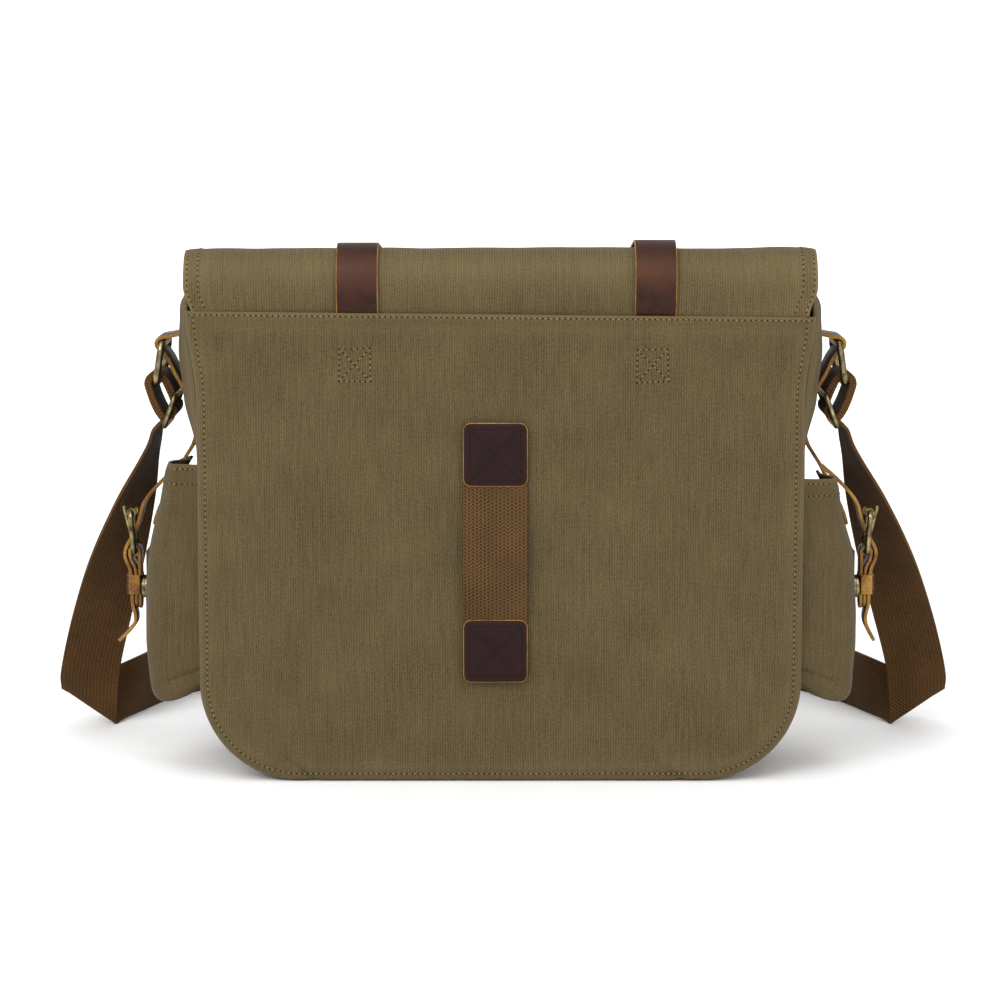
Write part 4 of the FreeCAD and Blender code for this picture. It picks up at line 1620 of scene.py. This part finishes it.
def makePocketStraps():
    p = pocketStrap
    for side, sign in sides.items():

        def toPocket(y, out, z):
            return Vector((sign * (p["plane"] + out), y, p["buckle"] + z))

        curl = 1.0 if sign > 0 else 0.55
        route = [toPocket(0, p["fold"][0] - p["plane"], p["fold"][1] - p["buckle"])]
        # over the pocket, through the buckle, over the tab's end, and then free
        for o, z in [(-11.5, 42), (-2.4, 31)] + threaded + [(5.8, -33.5)]:
            route.append(toPocket(0, o * mm, z * mm))
        for o, z in p["tail"]:
            route.append(toPocket(0, (4.5 + (o - 4.5) * curl) * mm, z * mm))
        path = curveThrough(route, 1.8 * mm)
        strap = stripMesh(
            "pocket_strap_leather_" + side, path, (0, 1, 0), p["width"], p["thickness"],
            (leather, rawEdge), smoothTips(len(path), 5),
            lambda a: 0.35 * hump(a, 20 * mm, 15 * mm),
        )
        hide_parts("pocket_strap_" + side)
        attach(strap, "pocket_strap_" + side)
        width = p["width"] - 1 * mm
        tab, keeper = makeBuckleLeather("pocket_" + side, width, toPocket, (0, 1, 0))
        both = joined("pocket_tab_leather_" + side, [tab, keeper])
        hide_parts("pocket_tab_" + side)
        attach(both, "pocket_strap_" + side)

        path = curveThrough([(sign * x * mm, 0, z * mm) for x, z in anchorLine], 1.8 * mm)
        stub = stripMesh(
            "pocket_anchor_leather_" + side, path, (0, 1, 0), p["width"], 2.0 * mm,
            (leather, rawEdge), smoothTips(len(path), 4),
        )
        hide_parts("pocket_anchor_" + side)
        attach(stub, "bag")


def makePocketPatches():
    low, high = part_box("pocket_patches")
    pieces = []
    for sign in (1, -1):
        bpy.ops.object.select_all(action="DESELECT")
        place = (sign * (high.x - pocketPatch["inset"]), 0, pocketPatch["height"])
        bpy.ops.mesh.primitive_cube_add(size=1, location=place, scale=pocketPatch["size"])
        patch = added("patch")
        modify(patch, "BEVEL", width=1.0 * mm, segments=3, limit_method="ANGLE")
        data = patch.data
        flat = data.uv_layers[0]
        flat.name = "flat"
        for loop in data.loops:
            co = data.vertices[loop.vertex_index].co
            flat.data[loop.index].uv = (co.y, co.z)
        data.attributes.new("wear", "FLOAT", "POINT")
        pieces.append(shadeSmooth(patch, 40))
    patches = joined("pocket_patch_cloth", pieces)
    paint(patches, pocketCanvas)
    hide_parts("pocket_patches")
    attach(patches, "bag")


makeFrontBuckles()
makePocketStraps()
makePocketPatches()
print("buckles dressed")


# rings, tabs and the shoulder strap
ringTab = {
    "width": 33 * mm,
    "thickness": 2.2 * mm,
    "bar": (203.0, 260.0),
    "above": [(184.2, 281), (184.4, 275), (186.4, 269.8), (191, 266.4), (196.8, 264.8)],
    "below": [
        (199.6, 250.5), (195.6, 242), (191, 234), (187, 227.5), (184.8, 221), (184.4, 213),
    ],
    "seams": [(214 * mm, 220 * mm), (273 * mm, 279.5 * mm)],
    "seamOut": 185.6 * mm,
}


def makeRingTabs():
    barOut, barUp = ringTab["bar"]
    path = list(ringTab["above"])
    for k in range(8):
        a = math.radians(95 - 175 * k / 7)
        path.append((barOut + 3.8 * math.cos(a), barUp + 3.8 * math.sin(a)))
    path += ringTab["below"]
    lines = []
    for side, sign in sides.items():
        line = curveThrough([(sign * x * mm, 0, z * mm) for x, z in path], 1.6 * mm)
        tab = stripMesh(
            "ring_tab_leather_" + side, line, (0, 1, 0), ringTab["width"], ringTab["thickness"],
            (leather, rawEdge), None, lambda a: 0.45 * hump(a, 32 * mm, 9 * mm),
        )
        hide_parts("ring_tab_" + side)
        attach(tab, "bag")
        out = Vector((sign, 0, 0))
        x = sign * ringTab["seamOut"]
        for z0, z1 in ringTab["seams"]:
            ys = ringTab["width"] / 2 - 3 * mm
            corners = [(-ys, z0), (ys, z0), (ys, z1), (-ys, z1), (-ys, z0)]
            for (ay, az), (by, bz) in zip(corners, corners[1:]):
                steps = [(ay + (by - ay) * t / 4, az + (bz - az) * t / 4) for t in range(5)]
                lines.append([(Vector((x, y, z)), out) for y, z in steps])
    seams = sew("ring_tab_stitches", lines, darkThread)
    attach(seams, "bag")


shoulder = {
    "width": 38 * mm,
    "thickness": 2.3 * mm,
    "side": [  # centre and twist from the slider down to the fold, on the right side
        ((200.6, 1.5, 217.2), -4), ((203.6, -1.5, 213.4), 0), ((208.8, -6.5, 207.5), 2),
        ((212.5, -18.0, 197.0), 5), ((218.0, -31.0, 184.0), 12), ((228.0, -46.0, 158.0), 32),
        ((242.5, -67.0, 118.0), 58), ((255.5, -85.0, 77.0), 76), ((265.3, -99.0, 40.0), 86),
    ],
    "crease": ((251.0, -109.0, 0.9), (286.0, -107.0, 23.0)),
    "front": [
        (241.0, -140.0), (226.0, -180.0), (204.0, -216.0), (170.0, -249.0), (122.0, -273.0),
        (64.0, -287.0), (0.0, -291.5),
    ],
}


def strapEdges():
    # the two edges of the webbing, smoothed, from the right slider to the middle of the front
    s = shoulder
    far, near = [], []
    for centre, twist in s["side"]:
        turn = math.radians(twist)
        across = Vector((math.sin(turn), math.cos(turn), 0)) * (s["width"] / 2 / mm)
        far.append(Vector(centre) - across)
        near.append(Vector(centre) + across)
    crease = [Vector(p) for p in s["crease"]]
    onward = [Vector((*s["front"][0], 0.9)), Vector((*s["front"][0], 38.6))]
    for line, corner, then, inward in zip((far, near), crease, onward, (0.0, 1.0)):
        before, after = line[-1].lerp(corner, 0.72), corner.lerp(then, 0.2)
        middle = corner.lerp((before + after) / 2, 0.3 + 0.1 * inward)
        if not inward:
            middle.z, after.z = 0.9, 0.9
        line += [before, middle, after]
    for k, (x, y) in enumerate(s["front"]):
        lean = 1.2 * math.sin(k * 1.3)
        far.append(Vector((x, y, 0.9)))
        near.append(Vector((x * (1 + lean / 220), y - lean, 38.6)))
    return far, near


def resample(far, near, step):
    # smooths both edges together, so that rungs stay square to the webbing
    far, near = [[Vector(p) for p in line] for line in (far, near)]
    farEnds, nearEnds = withEnds(far), withEnds(near)
    rungs = []
    for i in range(len(far) - 1):
        run = ((far[i + 1] - far[i]).length + (near[i + 1] - near[i]).length) / 2
        count = max(2, round(run / step))
        for k in range(count):
            t = k / count
            rungs.append((spline(*farEnds[i : i + 4], t), spline(*nearEnds[i : i + 4], t)))
    rungs.append((far[-1], near[-1]))
    return rungs


def makeShoulderStrap():
    far, near = strapEdges()
    rightHalf = resample(far, near, 4.0)

    def mirrored(p):
        # the left run hangs a little further out, most of all near the floor
        low = 1 - smooth(30, 170, p.z)
        return Vector((-p.x - (1.5 + 2.0 * low) * smooth(205, 250, p.x), p.y, p.z))

    leftHalf = [tuple(mirrored(p) for p in rung) for rung in rightHalf[-2::-1]]
    rungs = [tuple(p * mm for p in rung) for rung in rightHalf + leftHalf]
    travelled = lengthsAlong([(a + b) / 2 for a, b in rungs])

    def place(u, i):
        a, b = rungs[i]
        across = u * shoulder["width"]
        edge = min(u, 1 - u) * shoulder["width"]
        return a.lerp(b, u), (across, travelled[i]), 0.4 * hump(edge, 0, 3 * mm)

    columns = [0, 0.04, 0.2, 0.4, 0.6, 0.8, 0.96, 1]
    strap = clothGrid("shoulder_strap_webbing", columns, range(len(rungs)), place)
    thicken(strap, shoulder["thickness"], offset=0)
    modify(
        strap, "BEVEL", width=0.5 * mm, segments=2, limit_method="ANGLE",
        angle_limit=math.radians(60),
    )
    shadeSmooth(strap, 50)
    paint(strap, strapWebbing)
    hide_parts("strap_front", "strap_side_left", "strap_side_right")
    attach(strap, "shoulder_strap")
    print("shoulder strap length", round(travelled[-1], 3))


def makeStrapLoops():
    # webbing round the ring's lower bar and the slider's middle bar, sewn back on itself
    top, low = Vector((206.5, 236.2)), Vector((200.2, 220.3))
    axis = (low - top).normalized()
    side = Vector((-axis.y, axis.x))

    def around(middle, start, end, radius, steps=9):
        # angles turn from the inner side, over the end of the loop, to the outer side
        points = []
        for k in range(steps):
            a = math.radians(start + (end - start) * k / (steps - 1))
            points.append(middle - side * math.cos(a) * radius + axis * math.sin(a) * radius)
        return points

    inner = around(low, -10, 180, 4.6) + [low.lerp(top, 0.5) + side * 5.0]
    inner += around(top, 180, 360, 4.4)
    inner += [top.lerp(low, 0.5) - side * 4.8, low - side * 4.6 - axis * 1.5]
    outer = [low + side * 4.2 + axis * 7.5, low + side * 6.4, low.lerp(top, 0.45) + side * 7.0]
    outer += around(top, 180, 362, 6.4)
    outer += [top.lerp(low, 0.4) - side * 7.2, low - side * 6.8 - axis * 3.5]
    for name, sign in sides.items():
        pieces = []
        for part, points in (("inner", inner), ("outer", outer)):
            line = curveThrough([(sign * p.x * mm, 0, p.y * mm) for p in points], 1.5 * mm)
            skin = (strapWebbing, strapWebbing)
            pieces.append(
                stripMesh(part, line, (0, 1, 0), shoulder["width"], shoulder["thickness"], skin)
            )
        loop = joined("strap_loop_webbing_" + name, pieces)
        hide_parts("strap_loop_" + name)
        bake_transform(loop)


def makeLaptopStrap():
    low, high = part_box("laptop_strap")
    route = [
        (0, high.y - 0.9 * mm, 262 * mm), (0, high.y - 1.0 * mm, 249 * mm),
        (0, high.y - 5 * mm, 244.5 * mm), (0, 33 * mm, 242.5 * mm), (0, 24 * mm, 240.2 * mm),
        (0, 19.6 * mm, 236 * mm), (0, 18.6 * mm, 226 * mm), (0, 18.4 * mm, 206 * mm),
    ]
    strap = stripMesh(
        "laptop_strap_webbing", curveThrough(route, 2.5 * mm), (1, 0, 0), 38 * mm, 1.5 * mm,
        (webbing, webbing),
    )
    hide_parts("laptop_strap")
    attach(strap, "bag")


makeRingTabs()
makeShoulderStrap()
makeStrapLoops()
makeLaptopStrap()
print("straps on")


# metal
metalWords = (
    "ring_l", "ring_r", "slider", "buckle_l", "buckle_r", "prong", "roller", "stud", "socket",
)
for name, node in nodes.items():
    if "tab" not in name and any(word in name for word in metalWords):
        for slot in node.material_slots:
            slot.material = brass
print("metal finished")
